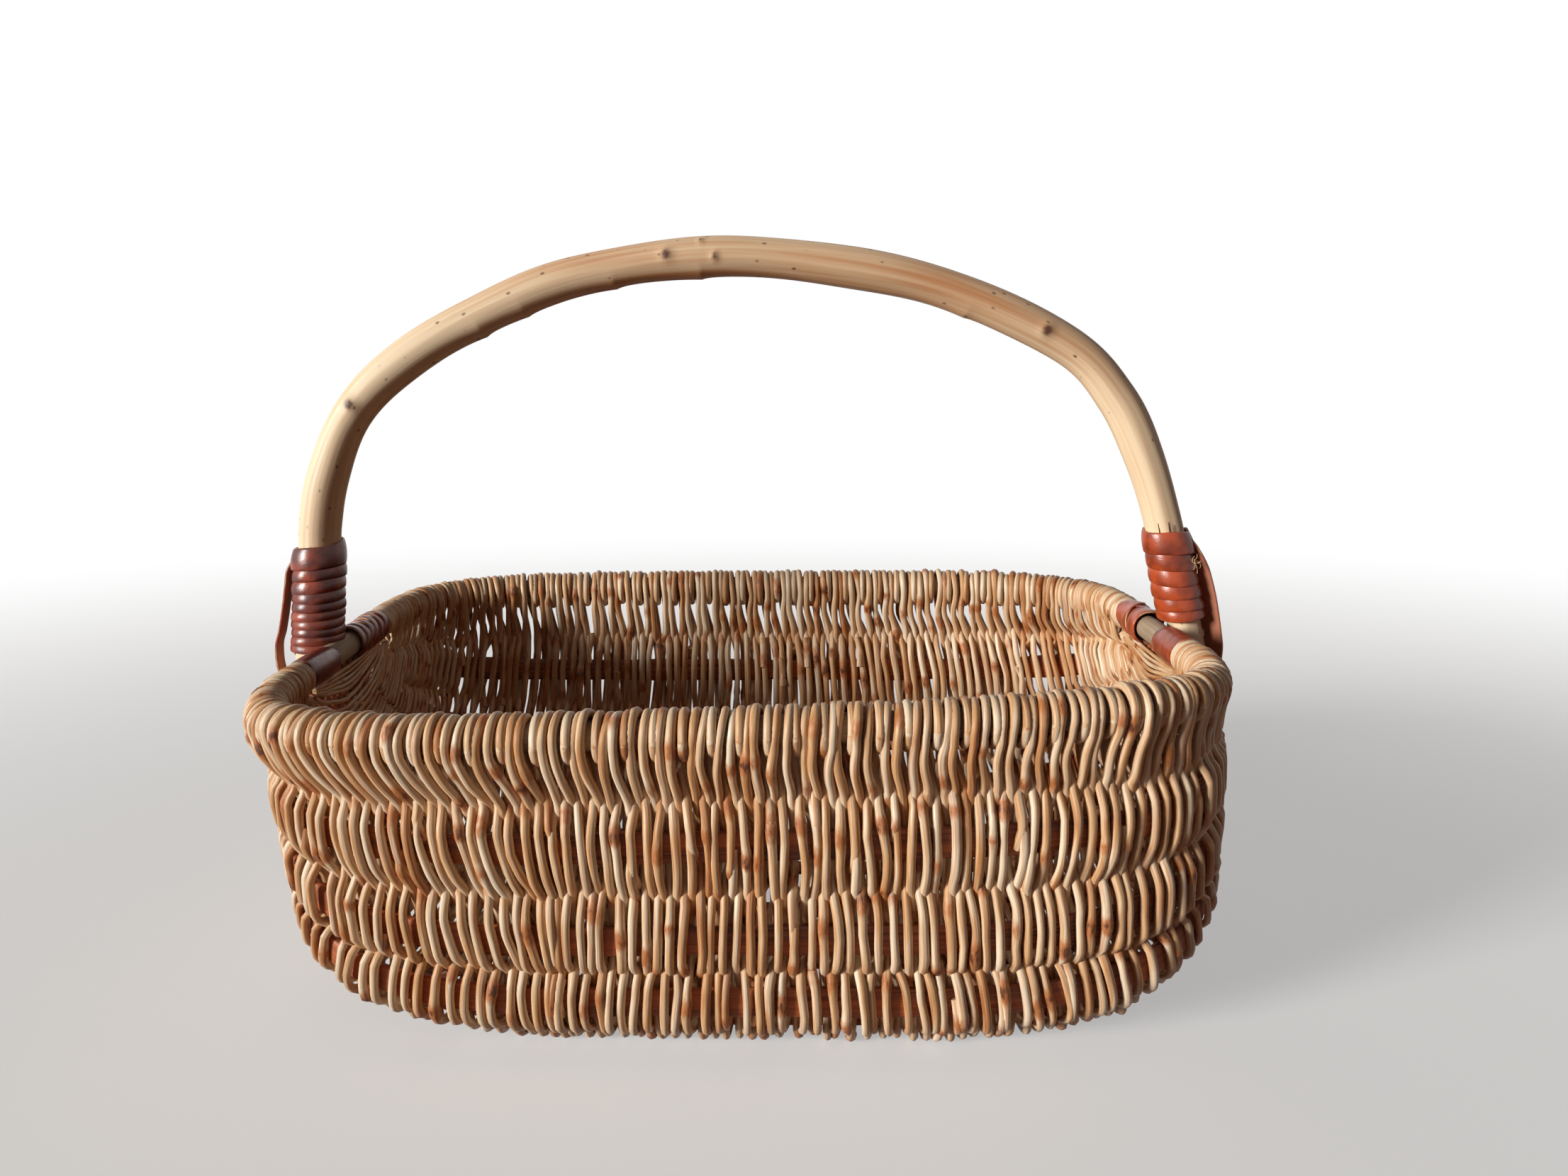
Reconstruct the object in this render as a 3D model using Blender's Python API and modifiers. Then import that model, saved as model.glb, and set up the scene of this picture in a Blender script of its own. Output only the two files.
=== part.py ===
"""A wicker basket on a frame of bent rod and split laths, with a bent-rod handle lashed on in leather.

The basket lies along X with its front towards -Y and stands on z = 0. Ribs run lengthwise from end to end,
the weave runs crosswise from rim to rim, outside and inside the ribs, and winds round the rim.
All sizes are in metres.
"""

import math

import bmesh
import bpy
import numpy as np

# Fit between pieces that touch
GAP = 0.0003

# Rim hoop: a bent rod, rounded rectangle in plan
RIM_HALF_LENGTH = 0.220
RIM_HALF_WIDTH = 0.147
RIM_HEIGHT = 0.160
RIM_ROD_RADIUS = 0.0065
CORNER_POWER = 3.7
RIM_SIDES = 8
RIM_CELLS = 36

# The rim was bent by hand and isn't level
RIGHT_END_RISE = 0.0045
BACK_RISE = 0.0062
CORNER_TWIST = -0.0037

# Body below the rim: walls, floor corner and the belly between the ends
WALL_LEAN = math.radians(4.2)
FLOOR_CORNER_RADIUS = 0.022
SECTION_POWER = 4.2
BELLY = 0.003
BELLY_LEAN = 0.0088
BELLY_POWER = 0.4
BELLY_SET = 2.0
FLAT_FLOOR = 1.004
BODY_CELLS = 22

# Ribs: split laths that fan out from both ends; places are shares of the way from rim to keel
RIB_PLACES = (0.191, 0.355, 0.466, 0.61, 0.795, 1.0)
FIRST_CROSSING = 0.114
RIB_WIDTH = 0.014
RIB_TIP_WIDTH = 0.0045
RIB_THICKNESS = 0.004
RIB_TAPER = 0.8
RIB_END_SPREAD = 0.045
RIB_END_TUCK = 0.012
FAN_CURL = 1.0

# Weave: willow rods, here as an outer and an inner skin that meet between the ribs
WILLOW_THICKNESS = 0.004
WEAVE_GAP = 0.0006
WEAVE_LAND = 0.0020
WEAVE_TIP_LAND = 0.0006
VALLEY_FADE = 0.5
RIDGE_PITCH = 0.021
RIDGE_DEPTH = 0.0020

# Handle: a thick debarked rod; arch points are shares of the leg tops' half distance and of the rise
HANDLE_TOP = 0.361
HANDLE_RADIUS = 0.0100
LEG_RADIUS = 0.0108
LEG_OFFSET = 0.012
LEFT_LEG_SLOPE = 0.09
RIGHT_LEG_SLOPE = 0.14
LEG_STRAIGHT = 0.062
FOOT_DROP = 0.020
HANDLE_SIDES = 10
ARCH_STEPS = 3
ARCH = (
    (-0.977, 0.231), (-0.911, 0.444), (-0.800, 0.614), (-0.629, 0.777), (-0.380, 0.932), (-0.056, 1.0),
    (0.265, 0.953), (0.507, 0.856), (0.751, 0.668), (0.863, 0.483), (0.931, 0.273),
)

# Leather strip: windings on the legs and on the rim beside them
LEATHER_THICKNESS = 0.0024
LOOP_POINTS = 16
LEG_TURNS = 5
LEG_PITCH = 0.0070
LEG_LASHING_RISE = 0.0150
RIM_PITCH = 0.0082
FRONT_TURNS = 3
FRONT_START = 0.018
BACK_TURNS = 4
BACK_START = 0.0125
STRIP_GAP = 0.0006
WRAP_CLEARANCE = 0.001

# Straps that stand off the legs outside
STRAP_WIDTH = 0.012
STRAP_STAND_OFF = 0.0046
STRAP_HOLD = 0.010
STRAP_SPRING = 0.0004
STRAP_STEPS = 3

# Nails through the feet into the hoop
NAIL_RADIUS = 0.0013
NAIL_HEAD_RADIUS = 0.0032
NAIL_HEAD_THICKNESS = 0.0012
NAIL_BITE = 0.004
NAIL_SIDES = 12

# Worked out from the sizes above
SKIN_OFFSET = RIB_THICKNESS / 2 + WEAVE_GAP
FLOOR_LEVEL = SKIN_OFFSET + WILLOW_THICKNESS
RIM_WRAP_RADIUS = RIM_ROD_RADIUS + WILLOW_THICKNESS
RIM_SEAT = RIM_WRAP_RADIUS + GAP
LEG_STRIP_WIDTH = LEG_PITCH - STRIP_GAP
RIM_STRIP_WIDTH = RIM_PITCH - STRIP_GAP
RIB_SHARES = [p / 2 for p in RIB_PLACES] + [1 - p / 2 for p in reversed(RIB_PLACES[:-1])]
END_STATIONS = np.linspace(0, 1, len(RIB_SHARES) + 2)

WILLOW = (0.50, 0.32, 0.16)
LATH = (0.44, 0.19, 0.07)
ROD = (0.36, 0.27, 0.19)
PALE_WOOD = (0.68, 0.48, 0.26)
LEATHER = (0.28, 0.055, 0.025)
STEEL = (0.25, 0.23, 0.21)


def clear_scene():
    for item in list(bpy.data.objects):
        bpy.data.objects.remove(item)


def new_collection(name):
    collection = bpy.data.collections.new(name)
    bpy.context.scene.collection.children.link(collection)
    return collection


def finish(item, colour, roughness, metallic=0.0):
    """Gives a piece its own material and smooth shading with sharp edges."""
    material = bpy.data.materials.new(item.name + "_finish")
    material.use_nodes = True
    shader = material.node_tree.nodes["Principled BSDF"]
    shader.inputs["Base Color"].default_value = (*colour, 1.0)
    shader.inputs["Roughness"].default_value = roughness
    shader.inputs["Metallic"].default_value = metallic
    item.data.materials.clear()
    item.data.materials.append(material)
    item.data.shade_smooth()
    item.data.set_sharp_from_angle(angle=math.radians(35))
    return item


def add_mesh(name, work, collection):
    """Turns a bmesh into an object of that name."""
    mesh = bpy.data.meshes.new(name)
    work.to_mesh(mesh)
    work.free()
    item = bpy.data.objects.new(name, mesh)
    collection.objects.link(item)
    return item


def slab(name, columns, rows, place, collection):
    """A closed slab of cells whose corners lie where place(column, row, side) puts them."""
    work = bmesh.new()
    bmesh.ops.create_grid(work, x_segments=columns, y_segments=rows, size=0.5)
    bmesh.ops.solidify(work, geom=work.faces[:], thickness=1.0)
    for vert in work.verts:
        column = round((vert.co.x + 0.5) * columns)
        row = round((vert.co.y + 0.5) * rows)
        side = round(abs(vert.co.z))
        vert.co = place(column, row, side)
    work.normal_update()
    bmesh.ops.recalc_face_normals(work, faces=work.faces[:])
    return add_mesh(name, work, collection)


def applied_mesh(item):
    """The mesh of a curve, or of a piece with its modifiers."""
    bpy.context.view_layer.update()
    evaluated = item.evaluated_get(bpy.context.evaluated_depsgraph_get())
    return bpy.data.meshes.new_from_object(evaluated)


def tube(name, points, radii, sides, collection, closed=False, capped=True):
    """A mesh tube along points; it starts as a bevelled curve."""
    curve = bpy.data.curves.new(name, "CURVE")
    curve.dimensions = "3D"
    curve.twist_mode = "Z_UP"
    curve.bevel_depth = max(radii)
    curve.bevel_resolution = sides // 2 - 2
    curve.use_fill_caps = capped
    spline = curve.splines.new("POLY")
    spline.points.add(len(points) - 1)
    for knot, point, radius in zip(spline.points, points, radii):
        knot.co = (*point, 1.0)
        knot.radius = radius / max(radii)
    spline.use_cyclic_u = closed
    rod = bpy.data.objects.new(name + "_curve", curve)
    collection.objects.link(rod)
    mesh = applied_mesh(rod)
    work = bmesh.new()
    work.from_mesh(mesh)
    bmesh.ops.remove_doubles(work, verts=work.verts[:], dist=0.00002)
    bmesh.ops.recalc_face_normals(work, faces=work.faces[:])
    item = add_mesh(name, work, collection)
    item.matrix_world = rod.matrix_world
    bpy.data.objects.remove(rod)
    bpy.data.meshes.remove(mesh)
    return item


def cylinder(name, radius, start, end, collection):
    """A round bar from start to end, both on one line along X."""
    work = bmesh.new()
    bmesh.ops.create_cone(
        work, cap_ends=True, segments=2 * NAIL_SIDES, radius1=radius, radius2=radius, depth=abs(end[0] - start[0])
    )
    item = add_mesh(name, work, collection)
    item.rotation_euler = (0, math.pi / 2, 0)
    item.location = [(a + b) / 2 for a, b in zip(start, end)]
    return item


def cut(item, cutter):
    """Takes a cutter's shape out of a piece."""
    cutter.hide_render = True
    cutter.display_type = "WIRE"
    tool = item.modifiers.new(cutter.name, "BOOLEAN")
    tool.operation = "DIFFERENCE"
    tool.solver = "EXACT"
    tool.object = cutter


def settled(point):
    """Moves a point of the body with the rim's uneven height, which fades out towards the floor."""
    x, y, z = point
    share = min(1.0, max(0.0, (z - FLOOR_LEVEL) / (RIM_HEIGHT - FLOOR_LEVEL)))
    u, v = x / RIM_HALF_LENGTH, y / RIM_HALF_WIDTH
    return (x, y, z + share * (RIGHT_END_RISE * u + BACK_RISE * v + CORNER_TWIST * u * v))


def settle(item):
    for vert in item.data.vertices:
        vert.co = settled(vert.co)


def section_point(share):
    """The middle section's (y, z) at a share of the way from the front rim under the floor to the back rim."""
    turn = math.pi / 2 - WALL_LEAN
    tangent_height = FLOOR_LEVEL + FLOOR_CORNER_RADIUS * (1 - math.sin(WALL_LEAN))
    wall = (RIM_HEIGHT - tangent_height) / math.cos(WALL_LEAN)
    centre_y = -RIM_HALF_WIDTH + wall * math.sin(WALL_LEAN) + FLOOR_CORNER_RADIUS * math.cos(WALL_LEAN)
    corner = FLOOR_CORNER_RADIUS * turn
    half_girth = wall + corner - centre_y
    way = share * 2 * half_girth
    side = 1.0 if way <= half_girth else -1.0
    way = min(way, 2 * half_girth - way)
    if way < wall:
        y = -RIM_HALF_WIDTH + way * math.sin(WALL_LEAN)
        z = RIM_HEIGHT - way * math.cos(WALL_LEAN)
    elif way < wall + corner:
        angle = WALL_LEAN + (way - wall) / FLOOR_CORNER_RADIUS
        y = centre_y - FLOOR_CORNER_RADIUS * math.cos(angle)
        z = FLOOR_LEVEL + FLOOR_CORNER_RADIUS * (1 - math.sin(angle))
    else:
        y = centre_y + way - wall - corner
        z = FLOOR_LEVEL
    return side * y, z, half_girth


def reach(angle, depth, power):
    """Distance from the centre of a superellipse with the rim's half length and this depth, at an angle."""
    across = abs(math.cos(angle)) / RIM_HALF_LENGTH
    down = abs(math.sin(angle)) / depth
    return (across**power + down**power) ** (-1 / power)


def rib_surface(share, angle):
    """A point of the surface that the ribs lie in, and how far down its rib it is, from 0 to 1.

    share runs across the basket from the front rim to the back rim, angle from the left end to the right end.
    The ribs leave the rim's end straight down, side by side, and then fan out.
    """
    y_mid, z_mid, _ = section_point(share)
    fullness = math.sin(math.pi * share)
    y_end = RIB_END_SPREAD * (2 * np.interp(share, [0, *RIB_SHARES, 1], END_STATIONS) - 1)
    z_end = RIM_HEIGHT - RIM_SEAT - RIB_END_TUCK * fullness
    depth = math.hypot(y_mid - y_end, z_mid - z_end)
    below = min(1.0, min(share, 1 - share) / RIB_SHARES[0])
    distance = reach(angle, depth, CORNER_POWER + (SECTION_POWER - CORNER_POWER) * below)
    down = min(1.0, FLAT_FLOOR * distance * math.sin(angle) / depth)
    out = down * (1 - FAN_CURL * below * (1 - down) ** 3)
    swell = fullness**BELLY_POWER * (1 - (1 - down) ** BELLY_SET)
    x = -distance * math.cos(angle) * (1 + BELLY / RIM_HALF_LENGTH * swell) + BELLY_LEAN * swell
    return np.array([x, y_end + (y_mid - y_end) * out, z_end + (z_mid - z_end) * down]), down


def surface_frame(share, angle):
    """A point of the rib surface with its directions across the ribs and out of the basket."""
    step = 1e-4
    point, down = rib_surface(share, angle)
    across = rib_surface(share + step, angle)[0] - rib_surface(share - step, angle)[0]
    along = rib_surface(share, min(angle + step, math.pi))[0] - rib_surface(share, max(angle - step, 0.0))[0]
    outward = np.cross(across, along)
    outward /= np.linalg.norm(outward)
    across = np.cross(along, outward)
    across /= np.linalg.norm(across)
    return point, across, outward, down


def taper(tip, full, down):
    """A width that grows from the rib's tip to its full size."""
    return tip + (full - tip) * min(1.0, down / RIB_TAPER)


def body_angle(column):
    """The angle of one of the body's stations from end to end; they lie closer at the corners."""
    even = math.pi * column / BODY_CELLS
    across = math.copysign(abs(math.cos(even)) ** (2 / CORNER_POWER), math.cos(even)) * RIM_HALF_LENGTH
    down = math.sin(even) ** (2 / CORNER_POWER) * RIM_HEIGHT
    return (even + math.atan2(down, across)) / 2


def add_rib(name, share, collection):
    """One flat lath from end to end under the basket."""

    def place(column, row, side):
        point, across, outward, down = surface_frame(share, body_angle(column))
        width = taper(RIB_TIP_WIDTH, RIB_WIDTH, down)
        shift = across * width * (row - 0.5) + outward * RIB_THICKNESS * (side - 0.5)
        return settled(point + shift)

    return finish(slab(name, BODY_CELLS, 1, place, collection), LATH, 0.6)


def weave_lines():
    """Shares of the lines along the basket that the weave bends at.

    They are a rim edge, then lines where the skins meet, at odd places, and ribs, at even ones, and the other edge.
    """
    edge = RIM_SEAT / (2 * section_point(0.0)[2])
    lines = [edge, FIRST_CROSSING / 2]
    for share, following in zip(RIB_SHARES, RIB_SHARES[1:]):
        lines += [share, (share + following) / 2]
    return lines + [RIB_SHARES[-1], 1 - FIRST_CROSSING / 2, 1 - edge]


def weave_columns():
    """The body's columns, and more between them, half a ridge apart along the keel."""
    columns = []
    for column in range(BODY_CELLS):
        start, end = (rib_surface(0.5, body_angle(c))[0] for c in (column, column + 1))
        parts = max(1, round(np.linalg.norm(end - start) / (RIDGE_PITCH / 2)))
        columns += [column + part / parts for part in range(parts)]
    return columns + [BODY_CELLS]


def add_weave(name, direction, collection):
    """One skin of the weave, outside (1) or inside (-1) the ribs.

    It bulges over each rib. Its face away from the ribs has ridges crosswise, as bundles of rods that pass over
    a rib on this side and behind the next, so the ridges of one rib stand between those of the next. Along the
    keel, which the basket stands on, it is flat.
    """
    lines = weave_lines()
    columns = weave_columns()
    ribs = range(2, len(lines) - 1, 2)
    keel = len(lines) // 2
    work = bmesh.new()

    def place(column, row, rib_side, height):
        point, across, outward, down = surface_frame(lines[row], body_angle(column))
        half = taper(RIB_TIP_WIDTH / 2 + WEAVE_TIP_LAND, RIB_WIDTH / 2 + WEAVE_LAND, down)
        depth = SKIN_OFFSET
        if row % 2:
            depth += (GAP / 2 - SKIN_OFFSET) * min(1.0, down / VALLEY_FADE)
        return point + across * half * rib_side + outward * direction * (depth + height)

    def ridge(number, column, row, rib_side):
        low = row in ribs and row != keel and 0 < number < len(columns) - 1
        height = WILLOW_THICKNESS - (RIDGE_DEPTH if low and (number + row // 2 + (direction > 0)) % 2 else 0.0)
        if direction > 0:
            return place(column, row, rib_side, height)
        # Inside, chords between the body's columns keep the wall's thickness at the corners
        start, part = divmod(column, 1)
        end = min(start + 1, BODY_CELLS)
        return (1 - part) * place(start, row, rib_side, height) + part * place(end, row, rib_side, height)

    def corner(point):
        return work.verts.new(settled(point))

    def seats(flat):
        return [(row, side) for row in range(len(lines)) for side in ((-1, 1) if row in flat else (0,))]

    near_seats, away_seats = seats(ribs), seats([keel])
    near = [[corner(place(column, *seat, 0.0)) for seat in near_seats] for column in range(BODY_CELLS + 1)]
    away = [[corner(ridge(number, column, *seat)) for seat in away_seats] for number, column in enumerate(columns)]
    for face in (near, away):
        for left, right in zip(face, face[1:]):
            for row in range(len(left) - 1):
                work.faces.new((left[row], left[row + 1], right[row + 1], right[row]))
    for edge in (0, -1):
        for cell in range(BODY_CELLS):
            between = [away[number][edge] for number, column in enumerate(columns) if cell <= column <= cell + 1]
            work.faces.new((near[cell][edge], *between, near[cell + 1][edge]))
        facing = [away_seats.index((row, side if row == keel else 0)) for row, side in near_seats]
        for number, (start, end) in enumerate(zip(facing, facing[1:])):
            corners = [near[edge][number], near[edge][number + 1], away[edge][end]]
            if end != start:
                corners.append(away[edge][start])
            work.faces.new(corners)
    bmesh.ops.recalc_face_normals(work, faces=work.faces[:])
    return finish(add_mesh(name, work, collection), WILLOW, 0.6)


def rim_arc(side, first):
    """Points of the rim's front (-1) or back (1) from the left end to the right end."""
    depth = RIM_HALF_WIDTH - RIB_END_SPREAD
    points = []
    for angle in np.linspace(first, math.pi - first, RIM_CELLS + 1):
        distance = reach(angle, depth, CORNER_POWER)
        points.append((-distance * math.cos(angle), side * (RIB_END_SPREAD + distance * math.sin(angle)), RIM_HEIGHT))
    return points


def lashing_end(start, turns):
    return start + turns * RIM_PITCH + RIM_STRIP_WIDTH


def first_angle(edge):
    """The angle at which the rim passes a distance from the handle's plane."""
    return math.atan2(edge - RIB_END_SPREAD, RIM_HALF_LENGTH)


def rim_arcs():
    front = rim_arc(-1, first_angle(lashing_end(FRONT_START, FRONT_TURNS) + WRAP_CLEARANCE))
    back = rim_arc(1, first_angle(lashing_end(BACK_START, BACK_TURNS) + WRAP_CLEARANCE))
    return front, back


def add_hoop(collection, cutters):
    """The rim's bent rod, all the way round, bored for the two nails."""
    front, back = rim_arcs()
    right = [(RIM_HALF_LENGTH, y, RIM_HEIGHT) for y in (-FRONT_START, 0.0, BACK_START)]
    left = [(-x, y, z) for x, y, z in reversed(right)]
    points = front + right + back[::-1] + left
    hoop = tube("rim_hoop", points, [RIM_ROD_RADIUS] * len(points), RIM_SIDES, collection, closed=True)
    settle(hoop)
    for side in (-1, 1):
        cut(hoop, nail_bore("hoop_bore", side, cutters))
    return finish(hoop, ROD, 0.55)


def add_rim_wrap(name, points, collection):
    """The willow wound round one long side of the rim, as a sleeve."""
    wrap = tube(name, points, [RIM_WRAP_RADIUS] * len(points), RIM_SIDES, collection, capped=False)
    shell = wrap.modifiers.new("wall", "SOLIDIFY")
    shell.thickness = (RIM_WRAP_RADIUS - RIM_ROD_RADIUS) * math.cos(math.pi / RIM_SIDES) - GAP
    shell.offset = -1
    shell.use_even_offset = True
    wrap.data = applied_mesh(wrap)
    wrap.modifiers.clear()
    settle(wrap)
    return finish(wrap, WILLOW, 0.6)


def rim_end_height(side):
    """Height of the rim rod's middle line under the handle."""
    return RIM_HEIGHT + side * RIGHT_END_RISE


def leg_axis(side, height):
    """The leg's middle line at a height above the table."""
    slope = RIGHT_LEG_SLOPE if side > 0 else LEFT_LEG_SLOPE
    x = RIM_HALF_LENGTH + LEG_OFFSET - slope * (height - RIM_HEIGHT)
    return np.array([side * x, 0.0, height])


def leg_direction(side):
    way = leg_axis(side, RIM_HEIGHT + LEG_STRAIGHT) - leg_axis(side, RIM_HEIGHT)
    return way / np.linalg.norm(way)


def smooth_curve(points, steps):
    """Points of a Catmull-Rom curve through all but the first and last of the points given."""
    result = []
    for before, start, end, after in zip(points, points[1:], points[2:], points[3:]):
        for step in range(steps):
            t = step / steps
            result.append(
                0.5
                * (
                    2 * start
                    + (end - before) * t
                    + (2 * before - 5 * start + 4 * end - after) * t**2
                    + (3 * start - before - 3 * end + after) * t**3
                )
            )
    result.append(points[-2])
    return result


def handle_line():
    """The handle's middle line from the left foot over the arch to the right foot."""
    base = RIM_HEIGHT + LEG_STRAIGHT
    left_top, right_top = leg_axis(-1, base), leg_axis(1, base)
    half = (right_top[0] - left_top[0]) / 2
    arch = [np.array([u * half, 0.0, base + v * (HANDLE_TOP - base)]) for u, v in ARCH]
    knots = [leg_axis(-1, RIM_HEIGHT), left_top, *arch, right_top, leg_axis(1, RIM_HEIGHT)]
    feet = [leg_axis(side, rim_end_height(side) - FOOT_DROP) for side in (-1, 1)]
    return [feet[0], knots[0], *smooth_curve(knots, ARCH_STEPS), knots[-1], feet[1]]


def handle_radius(point):
    """The rod is a little thinner over the arch than at the legs."""
    base = RIM_HEIGHT + LEG_STRAIGHT
    share = min(1.0, max(0.0, (point[2] - base) / (HANDLE_TOP - base)))
    return LEG_RADIUS + (HANDLE_RADIUS - LEG_RADIUS) * share


def nail_bore(name, side, cutters):
    height = rim_end_height(side)
    outer = side * (RIM_HALF_LENGTH + LEG_OFFSET + 2 * LEG_RADIUS)
    inner = side * (RIM_HALF_LENGTH - NAIL_BITE - GAP)
    return cylinder(name, NAIL_RADIUS + GAP, (inner, 0, height), (outer, 0, height), cutters)


def add_handle(collection, cutters):
    """The bent rod; each foot is notched over the rim rod and shaved below it to stand outside the weave."""
    points = handle_line()
    handle = tube("handle", points, [handle_radius(p) for p in points], HANDLE_SIDES, collection)
    for side in (-1, 1):
        rod_line = [(side * RIM_HALF_LENGTH, y, RIM_HEIGHT) for y in (-2 * LEG_RADIUS, 0.0, 2 * LEG_RADIUS)]
        rod = tube("rod_notch", rod_line, [RIM_ROD_RADIUS + GAP] * 3, 2 * RIM_SIDES, cutters)
        settle(rod)
        cut(handle, rod)
        work = bmesh.new()
        bmesh.ops.create_cube(work, size=1.0)
        shave = add_mesh("foot_shave", work, cutters)
        depth = RIM_SEAT + FOOT_DROP
        width = 2 * (SKIN_OFFSET + WILLOW_THICKNESS + GAP)
        shave.scale = (width, 4 * LEG_RADIUS, depth)
        shave.location = (side * RIM_HALF_LENGTH, 0, rim_end_height(side) - depth / 2)
        cut(handle, shave)
        cut(handle, nail_bore("foot_bore", side, cutters))
    return finish(handle, PALE_WOOD, 0.45)


def add_winding(name, turns, pitch, width, radius, origin, axis, first, collection):
    """One leather strip wound round a rod, and the least gap between its turns."""
    second = np.cross(axis, first)
    inner = (radius + GAP) / math.cos(math.pi / LOOP_POINTS)

    def place(column, row, side):
        angle = 2 * math.pi * column / LOOP_POINTS
        distance = inner + side * LEATHER_THICKNESS
        along = pitch * column / LOOP_POINTS + row * width
        return origin + axis * along + distance * (first * math.cos(angle) + second * math.sin(angle))

    columns = turns * LOOP_POINTS
    edges = [
        np.array([place(c, row, side) for row in (0, 1) for side in (0, 1)]) for c in range(columns + 1)
    ]
    gaps = [
        np.linalg.norm(edges[i][:, None] - edges[j][None], axis=2).min()
        for i in range(columns + 1)
        for j in range(i + LOOP_POINTS // 2, columns + 1)
    ]
    print(f"{name}: least gap between turns {min(gaps) * 1000:.2f} mm")
    return slab(name, columns, 1, place, collection)


def add_leg_lashing(side, label, collection):
    axis = leg_direction(side)
    origin = leg_axis(side, RIM_HEIGHT + LEG_LASHING_RISE)
    outward = np.array([side * axis[2], 0.0, -side * axis[0]])
    name = f"leg_lashing_{label}"
    strip = add_winding(
        name, LEG_TURNS, LEG_PITCH, LEG_STRIP_WIDTH, LEG_RADIUS, origin, axis, outward, collection
    )
    return finish(strip, LEATHER, 0.35)


def add_rim_lashing(side, label, place, start, turns, collection):
    """A strip wound round the rim rod in front of (-1) or behind (1) the handle's foot."""
    where = "front" if place < 0 else "back"
    axis = np.array([0.0, float(place), 0.0])
    origin = np.array([side * RIM_HALF_LENGTH, place * start, RIM_HEIGHT])
    name = f"rim_lashing_{label}_{where}"
    strip = add_winding(
        name, turns, RIM_PITCH, RIM_STRIP_WIDTH, RIM_ROD_RADIUS, origin, axis, np.array([0.0, 0.0, 1.0]), collection
    )
    settle(strip)
    return finish(strip, LEATHER, 0.35)


def add_strap(side, label, collection):
    """The strap down the leg's outer side, off it at the rim and turned in under the foot."""
    rim = rim_end_height(side)
    top = RIM_HEIGHT + LEG_LASHING_RISE + LEG_TURNS * LEG_PITCH
    half = LEATHER_THICKNESS / 2
    seat = LEG_RADIUS + LEATHER_THICKNESS + 2 * GAP + half
    clear = LEG_RADIUS + NAIL_HEAD_THICKNESS + 2 * GAP + half
    axis = leg_direction(side)
    outward = np.array([side * axis[2], 0.0, -side * axis[0]])

    def beside(height, distance, below=0.0):
        return leg_axis(side, height) + outward * distance - axis * below

    foot = rim - FOOT_DROP
    knots = [
        beside(top + STRAP_HOLD, seat + STRAP_SPRING),
        beside(top, seat + STRAP_SPRING),
        beside(top - STRAP_HOLD, seat + STRAP_SPRING),
        beside(rim + FOOT_DROP, seat + STRAP_STAND_OFF / 2),
        beside(rim, clear + STRAP_STAND_OFF),
        beside(rim - FOOT_DROP * 0.65, clear + STRAP_STAND_OFF * 0.7),
        beside(foot, LEG_RADIUS * 0.95, GAP + half + STRAP_SPRING * 2),
        beside(foot, LEG_RADIUS * 0.3, GAP + half),
        beside(foot, -LEG_RADIUS * 0.3, GAP + half),
    ]
    line = smooth_curve(knots, STRAP_STEPS)
    ways = np.gradient(np.array(line), axis=0)

    def place(column, row, face):
        way = ways[column] / np.linalg.norm(ways[column])
        out = np.array([-way[2], 0.0, way[0]]) * side
        return line[column] + out * LEATHER_THICKNESS * (face - 0.5) + np.array([0.0, STRAP_WIDTH * (row - 0.5), 0.0])

    return finish(slab(f"strap_{label}", len(line) - 1, 1, place, collection), LEATHER, 0.35)


def add_nail(side, label, collection):
    """A round-headed nail through the foot into the rim rod."""
    head_inner = LEG_OFFSET + LEG_RADIUS + GAP
    length = head_inner + NAIL_BITE
    outline = [
        (0.0, NAIL_HEAD_THICKNESS),
        (NAIL_HEAD_RADIUS, NAIL_HEAD_THICKNESS),
        (NAIL_HEAD_RADIUS, 0.0),
        (NAIL_RADIUS, 0.0),
        (NAIL_RADIUS, -length),
        (0.0, -length),
    ]
    work = bmesh.new()
    verts = [work.verts.new((radius, 0.0, height)) for radius, height in outline]
    for a, b in zip(verts, verts[1:]):
        work.edges.new((a, b))
    nail = add_mesh(f"nail_{label}", work, collection)
    turn = nail.modifiers.new("turn", "SCREW")
    turn.steps = NAIL_SIDES
    turn.render_steps = NAIL_SIDES
    turn.use_merge_vertices = True
    turn.merge_threshold = 0.00001
    nail.rotation_euler = (0, side * math.pi / 2, 0)
    nail.location = (side * (RIM_HALF_LENGTH + head_inner), 0, rim_end_height(side))
    return finish(nail, STEEL, 0.5, 0.8)


def main():
    clear_scene()
    basket = new_collection("basket")
    cutters = new_collection("cutters")
    add_hoop(basket, cutters)
    for number, share in enumerate(RIB_SHARES, start=1):
        add_rib(f"rib_{number:02d}", share, basket)
    add_weave("weave_outer", 1, basket)
    add_weave("weave_inner", -1, basket)
    front, back = rim_arcs()
    add_rim_wrap("rim_wrap_front", front, basket)
    add_rim_wrap("rim_wrap_back", back, basket)
    add_handle(basket, cutters)
    for side, label in ((-1, "left"), (1, "right")):
        add_leg_lashing(side, label, basket)
        add_rim_lashing(side, label, -1, FRONT_START, FRONT_TURNS, basket)
        add_rim_lashing(side, label, 1, BACK_START, BACK_TURNS, basket)
        add_strap(side, label, basket)
        add_nail(side, label, basket)


main()
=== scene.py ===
"""A wicker basket of willow rods woven over split laths, with a lashed bent-rod handle.

Lengths are in metres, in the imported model's own frame: the basket lies along X with its front
towards -Y, and stands on z = 0. "Share" runs across the basket from the front rim (0) under the
floor to the back rim (1), and "fraction" runs along it from the left end (0) to the right end (1).
"""

import math

import bpy
import numpy as np
from bpy.props import FloatProperty, FloatVectorProperty, IntProperty, PointerProperty
from mathutils import Matrix, Vector


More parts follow.
